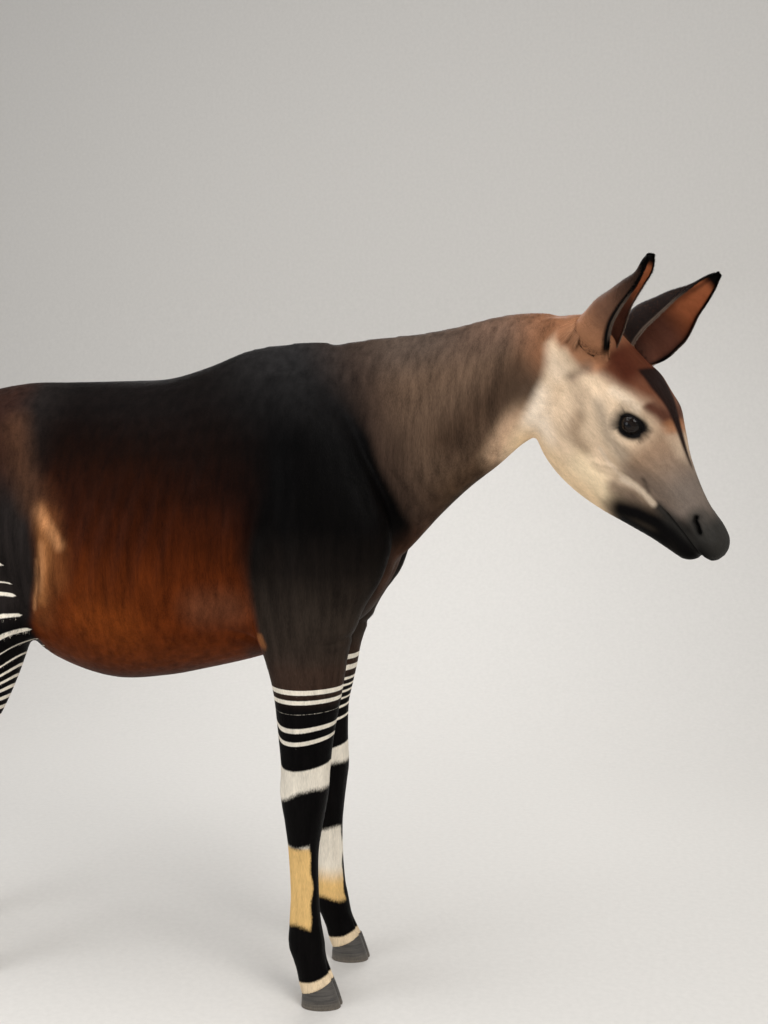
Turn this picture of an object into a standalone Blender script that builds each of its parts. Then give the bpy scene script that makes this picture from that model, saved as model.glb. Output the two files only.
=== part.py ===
"""A life-size okapi, standing with its head lowered and turned to its right.

Metres, +Z up, +X towards the nose, +Y to the animal's left. The body is modelled whole,
from outlines given as pairs of edge points, and is then parted with thin plane cuts.
"""

import math
from collections import namedtuple

import bmesh
import bpy
import numpy as np
from mathutils import Matrix, Vector

# Gap that touching solids keep, and the lateral sides of the animal.
GAP = 0.0003
RIGHT, LEFT = -1, 1

# Fineness of the blended body, of the head, and the triangles that each keeps.
BODY_VOXEL = 0.011
HEAD_VOXEL = 0.0042
BODY_TRIANGLES = 4700
HEAD_TRIANGLES = 3100

# A station of a loft: the two edge points in the lofting plane, the sideways middle, half the
# width, where along the edge line the body is widest, and the roundness of both halves.
Station = namedtuple("Station", "ax az bx bz side width widest apower bpower")


def station(a, b, side, width, widest=0.5, apower=2.0, bpower=2.0):
    return Station(a[0], a[1], b[0], b[1], side, width, widest, apower, bpower)


# The trunk, from the rump to the breast: back line and belly line.
TRUNK = (
    station((-0.985, 1.190), (-0.990, 1.02), 0, 0.070, 0.5),
    station((-0.962, 1.262), (-0.972, 0.93), 0, 0.132, 0.5),
    station((-0.890, 1.350), (-0.900, 0.87), 0, 0.176, 0.55, 2.0, 2.0),
    station((-0.780, 1.418), (-0.790, 0.84), 0, 0.200, 0.58, 1.9, 2.0),
    station((-0.660, 1.444), (-0.670, 0.838), 0, 0.212, 0.52, 1.75, 2.1),
    station((-0.545, 1.447), (-0.560, 0.766), 0, 0.227, 0.46, 1.7, 2.2),
    station((-0.420, 1.449), (-0.420, 0.727), 0, 0.242, 0.43, 1.75, 2.2),
    station((-0.290, 1.454), (-0.290, 0.737), 0, 0.246, 0.43, 1.75, 2.2),
    station((-0.190, 1.481), (-0.190, 0.758), 0, 0.238, 0.42, 1.65, 2.1),
    station((-0.090, 1.519), (-0.090, 0.783), 0, 0.221, 0.42, 1.5, 2.1),
    station((0.005, 1.533), (0.000, 0.812), 0, 0.201, 0.43, 1.4, 2.0),
    station((0.100, 1.535), (0.100, 0.848), 0, 0.179, 0.45, 1.4, 2.0),
    station((0.175, 1.500), (0.190, 0.895), 0, 0.152, 0.45, 1.6, 2.0),
    station((0.235, 1.400), (0.255, 0.985), 0, 0.116, 0.45, 1.8, 2.0),
    station((0.262, 1.270), (0.285, 1.060), 0, 0.060, 0.5),
)

# The neck, from inside the shoulders to the throat: crest line and throat line.
NECK = (
    station((0.020, 1.515), (0.225, 0.985), 0, 0.120, 0.45, 1.6, 1.9),
    station((0.195, 1.541), (0.305, 1.055), -0.004, 0.118, 0.45, 1.6, 1.9),
    station((0.323, 1.552), (0.372, 1.135), -0.020, 0.102, 0.45, 1.7, 1.9),
    station((0.418, 1.566), (0.440, 1.200), -0.042, 0.091, 0.45, 1.8, 2.0),
    station((0.510, 1.585), (0.512, 1.256), -0.064, 0.084, 0.47, 1.8, 2.0),
    station((0.596, 1.590), (0.572, 1.308), -0.085, 0.078, 0.50, 1.9, 2.0),
    station((0.655, 1.578), (0.628, 1.340), -0.098, 0.074, 0.52, 2.0, 2.0),
    station((0.705, 1.540), (0.682, 1.390), -0.110, 0.062, 0.52, 2.0, 2.0),
)

# Shoulder, upper arm and foreleg: front line and back line. Sideways is out from the middle.
FORELEG = (
    station((0.070, 1.470), (-0.040, 1.460), 0.050, 0.030, 0.5),
    station((0.170, 1.370), (-0.055, 1.360), 0.088, 0.056, 0.5),
    station((0.240, 1.240), (-0.070, 1.215), 0.112, 0.074, 0.5),
    station((0.275, 1.110), (-0.082, 1.075), 0.121, 0.086, 0.5),
    station((0.262, 1.010), (-0.070, 0.985), 0.127, 0.086, 0.5),
    station((0.218, 0.930), (-0.045, 0.905), 0.129, 0.080, 0.5),
    station((0.188, 0.850), (-0.022, 0.835), 0.129, 0.072, 0.5),
    station((0.170, 0.750), (0.003, 0.745), 0.128, 0.062, 0.5),
    station((0.148, 0.640), (0.014, 0.640), 0.124, 0.052, 0.5),
    station((0.137, 0.560), (0.020, 0.560), 0.121, 0.046, 0.5, 2.2, 2.2),
    station((0.131, 0.495), (0.017, 0.500), 0.119, 0.046, 0.55, 2.4, 2.2),
    station((0.118, 0.430), (0.027, 0.430), 0.117, 0.039, 0.55, 2.4, 2.2),
    station((0.107, 0.360), (0.035, 0.360), 0.116, 0.031, 0.55, 2.2, 2.2),
    station((0.107, 0.260), (0.039, 0.260), 0.115, 0.028, 0.55, 2.2, 2.2),
    station((0.112, 0.190), (0.036, 0.186), 0.115, 0.032, 0.55, 2.2, 2.2),
    station((0.119, 0.150), (0.034, 0.138), 0.115, 0.037, 0.5, 2.3, 2.2),
    station((0.123, 0.110), (0.052, 0.088), 0.115, 0.036, 0.5, 2.2, 2.2),
    station((0.136, 0.072), (0.062, 0.040), 0.115, 0.040, 0.5, 2.3, 2.2),
    station((0.150, 0.036), (0.074, 0.010), 0.115, 0.043, 0.5, 2.3, 2.2),
)

# Haunch, thigh and hind leg: front line and back line.
HIND_LEG = (
    station((-0.700, 1.405), (-0.850, 1.370), 0.080, 0.040, 0.5),
    station((-0.635, 1.335), (-0.920, 1.290), 0.102, 0.074, 0.5),
    station((-0.590, 1.235), (-0.990, 1.180), 0.119, 0.087, 0.5),
    station((-0.562, 1.130), (-1.018, 1.075), 0.126, 0.092, 0.5),
    station((-0.548, 1.020), (-1.005, 0.965), 0.132, 0.089, 0.5),
    station((-0.566, 0.925), (-0.955, 0.870), 0.137, 0.082, 0.5),
    station((-0.598, 0.835), (-0.900, 0.780), 0.139, 0.073, 0.5),
    station((-0.638, 0.730), (-0.868, 0.690), 0.140, 0.061, 0.5),
    station((-0.690, 0.632), (-0.868, 0.618), 0.137, 0.050, 0.5),
    station((-0.752, 0.545), (-0.895, 0.565), 0.134, 0.043, 0.5, 2.2, 1.8),
    station((-0.782, 0.480), (-0.900, 0.505), 0.132, 0.041, 0.55, 2.3, 1.9),
    station((-0.794, 0.410), (-0.882, 0.415), 0.130, 0.035, 0.55, 2.3, 2.1),
    station((-0.794, 0.330), (-0.868, 0.330), 0.129, 0.029, 0.55, 2.2, 2.2),
    station((-0.786, 0.240), (-0.856, 0.240), 0.128, 0.027, 0.55, 2.2, 2.2),
    station((-0.776, 0.180), (-0.858, 0.172), 0.128, 0.031, 0.55, 2.2, 2.2),
    station((-0.766, 0.145), (-0.858, 0.130), 0.128, 0.037, 0.5, 2.3, 2.2),
    station((-0.756, 0.105), (-0.836, 0.084), 0.128, 0.035, 0.5, 2.2, 2.2),
    station((-0.740, 0.070), (-0.818, 0.040), 0.128, 0.039, 0.5, 2.3, 2.2),
    station((-0.726, 0.036), (-0.806, 0.010), 0.128, 0.042, 0.5, 2.3, 2.2),
)

# How far each leg is set forward and outward of the outlines above, by height: z, x, y.
FORE_SET = {
    RIGHT: ((1.0, 0.0, 0.0), (0.0, 0.0, 0.0)),
    LEFT: ((0.98, -0.006, 0.0), (0.80, -0.032, 0.004), (0.66, -0.036, 0.010), (0.50, -0.018, 0.018),
           (0.38, -0.010, 0.024), (0.15, -0.010, 0.032), (0.0, 0.004, 0.034)),
}
HIND_SET = {
    RIGHT: ((1.0, 0.0, 0.0), (0.0, 0.0, 0.0)),
    LEFT: ((1.15, 0.0, 0.0), (1.0, -0.020, 0.0), (0.85, -0.105, 0.0), (0.75, -0.158, 0.002),
           (0.60, -0.190, 0.004), (0.40, -0.205, 0.006), (0.0, -0.215, 0.008)),
}

# The head's own frame: where its skull meets the neck, and how far it is lowered and turned.
HEAD_ORIGIN = Vector((0.678, -0.100, 1.518))
HEAD_PITCH = math.radians(48)
HEAD_TURN = math.radians(-23)
HEAD_ROLL = math.radians(5)

# The head in its own frame, X along the face and Z towards the brow: brow line and jaw line.
SKULL = (
    station((-0.065, 0.025), (-0.050, -0.085), 0, 0.052, 0.6),
    station((-0.020, 0.072), (-0.015, -0.110), 0, 0.068, 0.6, 1.9, 2.2),
    station((0.040, 0.092), (0.045, -0.120), 0, 0.073, 0.62, 1.9, 2.3),
    station((0.110, 0.094), (0.110, -0.125), 0, 0.077, 0.66, 2.1, 2.4),
    station((0.180, 0.091), (0.180, -0.120), 0, 0.084, 0.66, 2.4, 2.4),
    station((0.240, 0.082), (0.235, -0.108), 0, 0.085, 0.66, 2.5, 2.3),
    station((0.295, 0.062), (0.290, -0.098), 0, 0.073, 0.62, 2.3, 2.3),
    station((0.345, 0.041), (0.340, -0.089), 0, 0.059, 0.58, 2.0, 2.2),
    station((0.400, 0.022), (0.395, -0.080), 0, 0.049, 0.53, 1.9, 2.2),
    station((0.455, 0.006), (0.455, -0.072), 0, 0.044, 0.50, 1.9, 2.2),
    station((0.505, -0.001), (0.510, -0.067), 0, 0.042, 0.50, 2.1, 2.3),
    station((0.530, -0.010), (0.538, -0.060), 0, 0.035, 0.50, 2.3, 2.3),
    station((0.544, -0.026), (0.548, -0.050), 0, 0.018, 0.5),
)

# The lower jaw with its chewing muscle: upper edge inside the skull, and the jaw line.
JAW = (
    station((-0.020, 0.030), (-0.010, -0.120), 0, 0.050, 0.5),
    station((0.035, 0.035), (0.050, -0.176), 0, 0.066, 0.45, 2.4, 2.3),
    station((0.100, 0.030), (0.116, -0.204), 0, 0.074, 0.42, 2.6, 2.5),
    station((0.165, 0.015), (0.176, -0.211), 0, 0.074, 0.42, 2.6, 2.5),
    station((0.230, -0.010), (0.238, -0.205), 0, 0.065, 0.42, 2.6, 2.4),
    station((0.296, -0.025), (0.304, -0.187), 0, 0.053, 0.44, 2.4, 2.2),
    station((0.356, -0.038), (0.366, -0.161), 0, 0.044, 0.46, 2.2, 2.1),
    station((0.415, -0.050), (0.424, -0.136), 0, 0.038, 0.5, 2.2, 2.1),
    station((0.462, -0.054), (0.470, -0.119), 0, 0.035, 0.5, 2.3, 2.1),
    station((0.500, -0.056), (0.503, -0.103), 0, 0.027, 0.5, 2.3, 2.1),
    station((0.516, -0.064), (0.516, -0.086), 0, 0.011, 0.5),
)

# Masses that the outlines alone don't give, as balls inside them: middle with sideways out
# from the middle line, radii, and the turn about the sideways axis in degrees.
MUSCLES = (
    ((0.045, 0.080, 1.250), (0.100, 0.088, 0.165), 20),
    ((0.190, 0.106, 1.085), (0.072, 0.082, 0.090), 0),
    ((0.020, 0.123, 1.050), (0.105, 0.088, 0.150), -18),
    ((0.005, 0.128, 0.880), (0.038, 0.048, 0.070), 0),
    ((-0.780, 0.122, 1.200), (0.185, 0.097, 0.165), 12),
    ((-0.930, 0.080, 1.160), (0.070, 0.070, 0.100), 0),
    ((-0.632, 0.143, 0.900), (0.060, 0.064, 0.105), 12),
)
# The fold of skin between flank and stifle, given as a muscle. It stays where the belly is.
FLANK_FOLD = ((-0.600, 0.150, 0.925), (0.100, 0.040, 0.080), 35)
# The gland behind the jaw, which fills the angle between head and neck, in the head's frame.
PAROTID = ((-0.012, 0.040, -0.050), (0.080, 0.040, 0.095))

# Bones and hollows of the body's surface: place with sideways out from the middle line,
# reach along the three axes, and height.
BODY_FORMS = (
    ((0.085, 0.16, 1.34), (0.035, 0.10, 0.110), 0.007),
    ((0.255, 0.12, 1.10), (0.045, 0.06, 0.050), 0.008),
    ((-0.115, 0.22, 1.12), (0.040, 0.12, 0.180), -0.010),
    ((-0.640, 0.19, 1.370), (0.050, 0.07, 0.045), 0.008),
    ((-0.520, 0.22, 1.230), (0.080, 0.12, 0.080), -0.013),
    ((-0.975, 0.09, 1.215), (0.035, 0.05, 0.040), 0.010),
    ((-0.590, 0.20, 0.880), (0.040, 0.06, 0.060), 0.007),
    ((-0.030, 0.15, 0.885), (0.022, 0.05, 0.028), 0.006),
    ((0.290, 0.00, 1.060), (0.050, 0.02, 0.090), -0.008),
    ((-1.000, 0.00, 1.050), (0.060, 0.02, 0.110), -0.012),
)

# Forms of the head that stand out of its smooth loft or sink into it: place in the head's
# frame with sideways out from the middle, reach along the three axes, and height.
HEAD_FORMS = (
    ((0.225, 0.080, 0.013), (0.021, 0.030, 0.017), -0.0110),
    ((0.247, 0.080, 0.023), (0.021, 0.030, 0.017), -0.0110),
    ((0.226, 0.074, 0.055), (0.034, 0.020, 0.013), 0.0080),
    ((0.262, 0.080, -0.006), (0.034, 0.020, 0.012), 0.0030),
    ((0.160, 0.080, 0.052), (0.028, 0.020, 0.016), -0.0060),
    ((0.150, 0.086, -0.002), (0.055, 0.020, 0.014), 0.0040),
    ((0.225, 0.075, -0.040), (0.040, 0.020, 0.015), -0.0035),
    ((0.300, 0.062, -0.020), (0.050, 0.020, 0.011), 0.0035),
    ((0.325, 0.050, 0.022), (0.040, 0.018, 0.012), -0.0035),
    ((0.130, 0.070, -0.105), (0.050, 0.025, 0.050), 0.0050),
    ((0.212, 0.060, -0.110), (0.018, 0.025, 0.045), -0.0030),
    ((0.360, 0.040, -0.072), (0.035, 0.020, 0.015), 0.0035),
    ((0.215, 0.000, 0.080), (0.040, 0.030, 0.020), 0.0030),
    ((0.170, 0.045, 0.082), (0.022, 0.016, 0.020), 0.0050),
    ((0.420, 0.028, 0.018), (0.040, 0.012, 0.012), -0.0020),
    ((0.488, 0.040, 0.004), (0.022, 0.014, 0.012), 0.0045),
    ((0.520, 0.000, -0.058), (0.020, 0.030, 0.008), 0.0030),
    ((0.500, 0.000, -0.098), (0.020, 0.022, 0.014), 0.0040),
)

# The tail hangs from the croup: its middle line, given by distance down it, and its radii.
TAIL_ROOT = Vector((-0.955, 0.0, 1.258))
TAIL_REACH = 0.112
TAIL_LENGTH = 0.42
TAIL_RADIUS = (0.029, 0.0125)
TAIL_CUT = 0.24
TUFT_START = 0.78
TUFT_LENGTH = 0.19
TUFT_LOCKS = 15

# Eyes, ears, nostrils and mouth, in the head's frame; sideways is out from the middle.
EYE_CENTRE = Vector((0.236, 0.0640, 0.018))
EYE_RADIUS = 0.0235
EYE_TILT = math.radians(24)
EYE_OPENING = (math.radians(60), math.radians(37), math.radians(34))
EAR_BASE = {RIGHT: Vector((0.050, 0.053, 0.052)), LEFT: Vector((0.070, 0.058, 0.052))}
EAR_TIP = {RIGHT: Vector((0.043, 0.118, 0.290)), LEFT: Vector((0.096, 0.106, 0.296))}
EAR_TURN = {RIGHT: math.radians(14), LEFT: math.radians(44)}
EAR_WALL = 0.0042
EAR_START = -0.14
EAR_CUT = 0.085
NOSTRIL = Vector((0.476, 0.030, -0.016))
MOUTH = (
    (0.333, -0.070), (0.370, -0.061), (0.416, -0.056), (0.470, -0.058), (0.515, -0.062),
    (0.560, -0.064),
)

# The ear along its length: share of it, half its width, its depth, and how far each side
# wraps round towards the opening, in degrees.
EAR_FORM = (
    (-0.16, 0.032, 0.044, 170),
    (0.04, 0.037, 0.050, 166),
    (0.15, 0.044, 0.050, 150),
    (0.28, 0.051, 0.045, 128),
    (0.42, 0.054, 0.038, 112),
    (0.56, 0.050, 0.030, 102),
    (0.68, 0.040, 0.023, 97),
    (0.80, 0.026, 0.016, 94),
    (0.90, 0.016, 0.011, 91),
    (0.97, 0.010, 0.007, 88),
    (1.00, 0.003, 0.003, 84),
)

# Hooves: the coronet that they meet the foot at, and the claws below it.
CORONET_FRONT, CORONET_BACK = 0.060, 0.028
CLEFT = 0.004
TOE = 0.025
HOOF_WIDTH = 0.0405

LIP_DEPTH = 0.0045

# The thin cuts that part the body: across the neck's end and base, and through the legs.
NECK_END, NECK_END_WAY = Vector((0.606, -0.090, 1.440)), Vector((0.908, -0.243, -0.336))
NECK_BASE, NECK_BASE_WAY = Vector((0.2475, 0.0, 1.290)), Vector((0.956, 0.0, 0.292))
FORE_CUTS = (0.455, 0.775)
HIND_CUTS = (0.445, 0.705)

# What centres the model on the origin.
SHIFT = Vector((0.0512, 0.0408, 0.0))

# Where a foot meets its hoof: front and back of the coronet, toe and heel below them, and
# the middle sideways.
Foot = namedtuple("Foot", "front back toe heel middle")

# Colours: coat, neck, face, legs, ears, eyes and hooves.
COAT, NECK_COAT, FACE = (0.055, 0.024, 0.014), (0.120, 0.066, 0.045), (0.52, 0.40, 0.30)
BLACK, EAR_COAT = (0.016, 0.012, 0.011), (0.110, 0.050, 0.030)
EYE, HORN = (0.010, 0.008, 0.008), (0.060, 0.055, 0.055)


def smooth(value, low, high):
    """0 below low, 1 above high, and an easy curve between them."""
    t = np.clip((value - low) / (high - low), 0.0, 1.0)
    return t * t * (3 - 2 * t)


def spline(rows, count):
    """Catmull-Rom curves through the rows, read at count even steps of the chord length."""
    rows = np.asarray(rows, float)
    steps = np.linalg.norm(np.diff(rows[:, :4], axis=0), axis=1)
    knots = np.concatenate([[0.0], np.cumsum(steps)])
    slopes = np.empty_like(rows)
    slopes[1:-1] = (rows[2:] - rows[:-2]) / (knots[2:] - knots[:-2])[:, None]
    slopes[0] = (rows[1] - rows[0]) / steps[0]
    slopes[-1] = (rows[-1] - rows[-2]) / steps[-1]
    at = np.linspace(0.0, knots[-1], count)
    i = np.clip(np.searchsorted(knots, at, side="right") - 1, 0, len(rows) - 2)
    h = (knots[i + 1] - knots[i])[:, None]
    t = (at - knots[i])[:, None] / h
    return (
        (2 * t**3 - 3 * t**2 + 1) * rows[i]
        + (t**3 - 2 * t**2 + t) * h * slopes[i]
        + (-2 * t**3 + 3 * t**2) * rows[i + 1]
        + (t**3 - t**2) * h * slopes[i + 1]
    )


def ring(row, sides):
    """One closed ring of a loft. The row is a station's numbers."""
    s = Station(*row)
    a, b = np.array((s.ax, s.az)), np.array((s.bx, s.bz))
    middle = b + (a - b) * s.widest
    angles = np.linspace(0, 2 * math.pi, sides, endpoint=False)
    cos, sin = np.cos(angles), np.sin(angles)
    power = np.where(sin >= 0, s.apower, s.bpower)
    across = np.sign(cos) * np.abs(cos) ** (2 / power) * s.width
    along = np.abs(sin) ** (2 / power)
    edge = np.where(sin[:, None] >= 0, a - middle, b - middle)
    plane = middle + edge * along[:, None]
    return np.column_stack([plane[:, 0], s.side + across, plane[:, 1]])


def grid_mesh(rings):
    """Vertices and faces of a closed tube through the rings, its ends closed to a point."""
    count, sides = len(rings), len(rings[0])
    points = [p for r in rings for p in r]
    points += [np.mean(rings[0], axis=0), np.mean(rings[-1], axis=0)]
    first, last = count * sides, count * sides + 1
    faces = []
    for i in range(count - 1):
        for j in range(sides):
            k = (j + 1) % sides
            faces.append((i * sides + j, i * sides + k, (i + 1) * sides + k, (i + 1) * sides + j))
    for j in range(sides):
        k = (j + 1) % sides
        faces.append((first, k, j))
        faces.append((last, (count - 1) * sides + j, (count - 1) * sides + k))
    return points, faces


def mesh_object(name, points, faces):
    """A new object of that mesh, with its faces turned outwards."""
    mesh = bpy.data.meshes.new(name)
    mesh.from_pydata([tuple(p) for p in points], [], faces)
    bm = bmesh.new()
    bm.from_mesh(mesh)
    bmesh.ops.recalc_face_normals(bm, faces=bm.faces)
    bm.to_mesh(mesh)
    bm.free()
    obj = bpy.data.objects.new(name, mesh)
    bpy.context.scene.collection.objects.link(obj)
    return obj


def loft(name, stations, rings=40, sides=36, shape=None):
    """A closed body through the stations; shape moves its points where it is given."""
    rows = spline(stations, rings)
    made = [ring(row, sides) for row in rows]
    points, faces = grid_mesh(made)
    points = np.array(points)
    if shape:
        points = shape(points)
    return mesh_object(name, points, faces)


def ball(name, centre, radii, turn=0.0):
    """A muscle or bone as an ellipsoid, turned about the sideways axis."""
    bm = bmesh.new()
    bmesh.ops.create_icosphere(bm, subdivisions=4, radius=1.0)
    obj = mesh_object(name, [], [])
    bm.to_mesh(obj.data)
    bm.free()
    place = Matrix.Translation(centre) @ Matrix.Rotation(turn, 4, "Y") @ Matrix.Diagonal((*radii, 1.0))
    obj.data.transform(place)
    return obj


def applied(obj):
    """The object with its modifiers made part of its mesh."""
    graph = bpy.context.evaluated_depsgraph_get()
    mesh = bpy.data.meshes.new_from_object(obj.evaluated_get(graph))
    obj.modifiers.clear()
    old = obj.data
    obj.data = mesh
    bpy.data.meshes.remove(old)
    return obj


def removed(objects):
    for obj in objects:
        bpy.data.objects.remove(obj)


def joined(name, objects):
    """One object that holds the shells of all, which the remesh then blends."""
    bm = bmesh.new()
    for obj in objects:
        bm.from_mesh(obj.data)
    mesh = bpy.data.meshes.new(name)
    bm.to_mesh(mesh)
    bm.free()
    removed(objects)
    obj = bpy.data.objects.new(name, mesh)
    bpy.context.scene.collection.objects.link(obj)
    return obj


def remeshed(obj, voxel):
    modifier = obj.modifiers.new("blend", "REMESH")
    modifier.mode = "VOXEL"
    modifier.voxel_size = voxel
    return applied(obj)


def points_of(obj):
    points = np.empty(len(obj.data.vertices) * 3)
    obj.data.vertices.foreach_get("co", points)
    return points.reshape(-1, 3)


def set_points(obj, points):
    obj.data.vertices.foreach_set("co", np.asarray(points, float).ravel())
    obj.data.update()


def edges_of(obj):
    edges = np.empty(len(obj.data.edges) * 2, np.int64)
    obj.data.edges.foreach_get("vertices", edges)
    return edges.reshape(-1, 2)


def normals_of(obj):
    normals = np.empty(len(obj.data.vertices) * 3)
    obj.data.vertex_normals.foreach_get("vector", normals)
    return normals.reshape(-1, 3)


def relaxed(obj, rounds, amount=None):
    """Smooths the surface without shrinking it, by a push in and a smaller push back out."""
    points, edges = points_of(obj), edges_of(obj)
    degree = np.bincount(edges.ravel(), minlength=len(points))[:, None]
    weight = 1.0 if amount is None else amount[:, None]
    for _ in range(rounds):
        for factor in (0.6, -0.62):
            mean = np.zeros_like(points)
            np.add.at(mean, edges[:, 0], points[edges[:, 1]])
            np.add.at(mean, edges[:, 1], points[edges[:, 0]])
            points = points + factor * weight * (mean / degree - points)
    set_points(obj, points)
    return obj


def decimated(obj, triangles):
    """The object as triangles, collapsed to about that many."""
    bm = bmesh.new()
    bm.from_mesh(obj.data)
    bmesh.ops.triangulate(bm, faces=bm.faces)
    now = len(bm.faces)
    bm.to_mesh(obj.data)
    bm.free()
    modifier = obj.modifiers.new("fewer", "DECIMATE")
    modifier.ratio = triangles / now
    return applied(obj)


def largest_shell(obj):
    """Keeps only the largest closed surface of the object."""
    bm = bmesh.new()
    bm.from_mesh(obj.data)
    todo, shells = set(bm.faces), []
    while todo:
        shell, front = set(), [todo.pop()]
        while front:
            face = front.pop()
            shell.add(face)
            for edge in face.edges:
                for other in edge.link_faces:
                    if other in todo:
                        todo.remove(other)
                        front.append(other)
        shells.append(shell)
    keep = max(shells, key=lambda shell: sum(f.calc_area() for f in shell))
    bmesh.ops.delete(bm, geom=[f for f in bm.faces if f not in keep], context="FACES")
    bmesh.ops.triangulate(bm, faces=bm.faces)
    bm.to_mesh(obj.data)
    bm.free()
    return obj


def boolean(obj, cutter, operation):
    """Applies one Boolean with a mesh cutter, which stays in the scene."""
    modifier = obj.modifiers.new(operation.lower(), "BOOLEAN")
    modifier.operation = operation
    modifier.object = cutter
    modifier.solver = "EXACT"
    return largest_shell(applied(obj))


def union(obj, pieces):
    """Fuses a collection of closed mesh pieces into the object."""
    group = bpy.data.collections.new("pieces")
    bpy.context.scene.collection.children.link(group)
    for piece in pieces:
        bpy.context.scene.collection.objects.unlink(piece)
        group.objects.link(piece)
    modifier = obj.modifiers.new("union", "BOOLEAN")
    modifier.operation = "UNION"
    modifier.operand_type = "COLLECTION"
    modifier.collection = group
    modifier.solver = "EXACT"
    applied(obj)
    removed(pieces)
    bpy.data.collections.remove(group)
    return largest_shell(obj)


def copied(obj, name):
    other = obj.copy()
    other.data = obj.data.copy()
    other.name = name
    bpy.context.scene.collection.objects.link(other)
    return other


def block(point, normal, up, size, lift):
    """A box that stands on the plane through the point, lifted along the normal.

    size is its extent along up, across, and along the normal.
    """
    z = Vector(normal).normalized()
    y = z.cross(Vector(up)).normalized()
    x = y.cross(z)
    bm = bmesh.new()
    bmesh.ops.create_cube(bm, size=1.0)
    obj = mesh_object("block", [], [])
    bm.to_mesh(obj.data)
    bm.free()
    frame = Matrix((x, y, z)).transposed().to_4x4()
    centre = Vector(point) + z * (lift + size[2] / 2)
    obj.data.transform(Matrix.Translation(centre) @ frame @ Matrix.Diagonal((*size, 1.0)))
    return obj


def part_off(body, name, point, normal, up, size):
    """Cuts the piece of the body inside a block on the plane off it, with the gap between."""
    piece = copied(body, name)
    inner = block(point, normal, up, size, GAP / 2)
    boolean(piece, inner, "INTERSECT")
    outer = block(point, normal, up, size, -GAP / 2)
    boolean(body, outer, "DIFFERENCE")
    removed([inner, outer])
    return piece


def offsets(setting, height):
    """How far forward and outward a leg is set at a height."""
    table = np.array(setting)[::-1]
    return np.interp(height, table[:, 0], table[:, 1]), np.interp(height, table[:, 0], table[:, 2])


def leg(name, stations, side, setting):
    def shape(points):
        forward, outward = offsets(setting, points[:, 2])
        return np.column_stack([points[:, 0] + forward, (points[:, 1] + outward) * side, points[:, 2]])

    return loft(name, stations, rings=64, sides=28, shape=shape)


def head_frame():
    """The matrix from the head's frame to the animal's."""
    roll = Matrix.Rotation(HEAD_ROLL, 4, "X")
    pitch = Matrix.Rotation(HEAD_PITCH, 4, "Y")
    turn = Matrix.Rotation(HEAD_TURN, 4, "Z")
    return Matrix.Translation(HEAD_ORIGIN) @ turn @ pitch @ roll


def to_head(points):
    inverse = np.array(head_frame().inverted())
    return points @ inverse[:3, :3].T + inverse[:3, 3]


def in_head(obj):
    obj.data.transform(head_frame())
    return obj


def muscle(side, middle, radii, turn=0):
    return ball("muscle", Vector(middle) * Vector((1, side, 1)), radii, math.radians(turn))


def set_with_leg(side, middle, radii, turn):
    """A muscle's place once the leg that it lies on is set forward or back."""
    setting = (FORE_SET if middle[0] > -0.3 else HIND_SET)[side]
    forward, outward = offsets(setting, middle[2])
    return (middle[0] + forward, middle[1] + outward, middle[2]), radii, turn


def tail_point(share):
    """The middle line of the tail: it leaves the croup backwards and hangs down."""
    out = TAIL_REACH * math.sin(min(max(share, -0.3) * 2.4, math.pi / 2))
    drop = TAIL_LENGTH * (max(share, 0.0) ** 1.25 + 0.35 * min(share, 0.0))
    return TAIL_ROOT + Vector((-out - 0.010 * share, -0.006 * math.sin(share * 3.0), -drop))


def tail_rings(start, end, count, sides, radius):
    rings = []
    for i in range(count):
        share = start + (end - start) * i / (count - 1)
        centre = tail_point(share)
        ahead = (tail_point(share + 0.01) - tail_point(share - 0.01)).normalized()
        up = ahead.cross(Vector((0, 1, 0))).normalized()
        side = up.cross(ahead)
        r = radius(share)
        rings.append([
            np.array(centre + side * (r * math.cos(a)) + up * (r * math.sin(a)))
            for a in (2 * math.pi * j / sides for j in range(sides))
        ])
    return rings


def tail_radius(share):
    root, end = TAIL_RADIUS
    return end + (root - end) * math.exp(-3.2 * max(share, 0.0))


def tail_stump():
    """The root of the tail, which the croup carries."""
    points, faces = grid_mesh(tail_rings(-0.20, TAIL_CUT + 0.03, 12, 20, tail_radius))
    return mesh_object("tail_stump", points, faces)


def tail():
    points, faces = grid_mesh(tail_rings(TAIL_CUT, TUFT_START, 14, 12, tail_radius))
    return mesh_object("tail", points, faces)


def body_whole():
    """Trunk, neck and legs blended into one smooth surface, without the head."""
    pieces = [loft("trunk", TRUNK, rings=60, sides=48), loft("neck", NECK, rings=30, sides=40)]
    for side in (RIGHT, LEFT):
        pieces.append(leg("foreleg", FORELEG, side, FORE_SET[side]))
        pieces.append(leg("hind_leg", HIND_LEG, side, HIND_SET[side]))
        pieces += [muscle(side, *set_with_leg(side, *row)) for row in MUSCLES]
        pieces.append(muscle(side, *FLANK_FOLD))
    pieces.append(tail_stump())
    pieces.append(in_head(loft("skull_root", SKULL[:5], rings=16, sides=36)))
    pieces.append(in_head(loft("jaw_root", JAW[:4], rings=14, sides=36)))
    pieces += [in_head(muscle(side, *PAROTID)) for side in (RIGHT, LEFT)]
    body = remeshed(joined("body", pieces), BODY_VOXEL)
    points = points_of(body)
    thin = 1 - smooth(points[:, 2], 0.10, 0.75)
    relaxed(body, 16, 1 - 0.75 * thin)
    raised(body, points_of(body), BODY_FORMS)
    return relaxed(body, 3)


def raised(obj, points, forms):
    """Raises or sinks the surface along its normals; points are its places in the forms' frame."""
    height = np.zeros(len(points))
    for centre, reach, rise in forms:
        away = np.column_stack([points[:, 0], np.abs(points[:, 1]), points[:, 2]]) - centre
        height += rise * np.exp(-0.5 * ((away / reach) ** 2).sum(axis=1))
    set_points(obj, points_of(obj) + normals_of(obj) * height[:, None])


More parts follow.
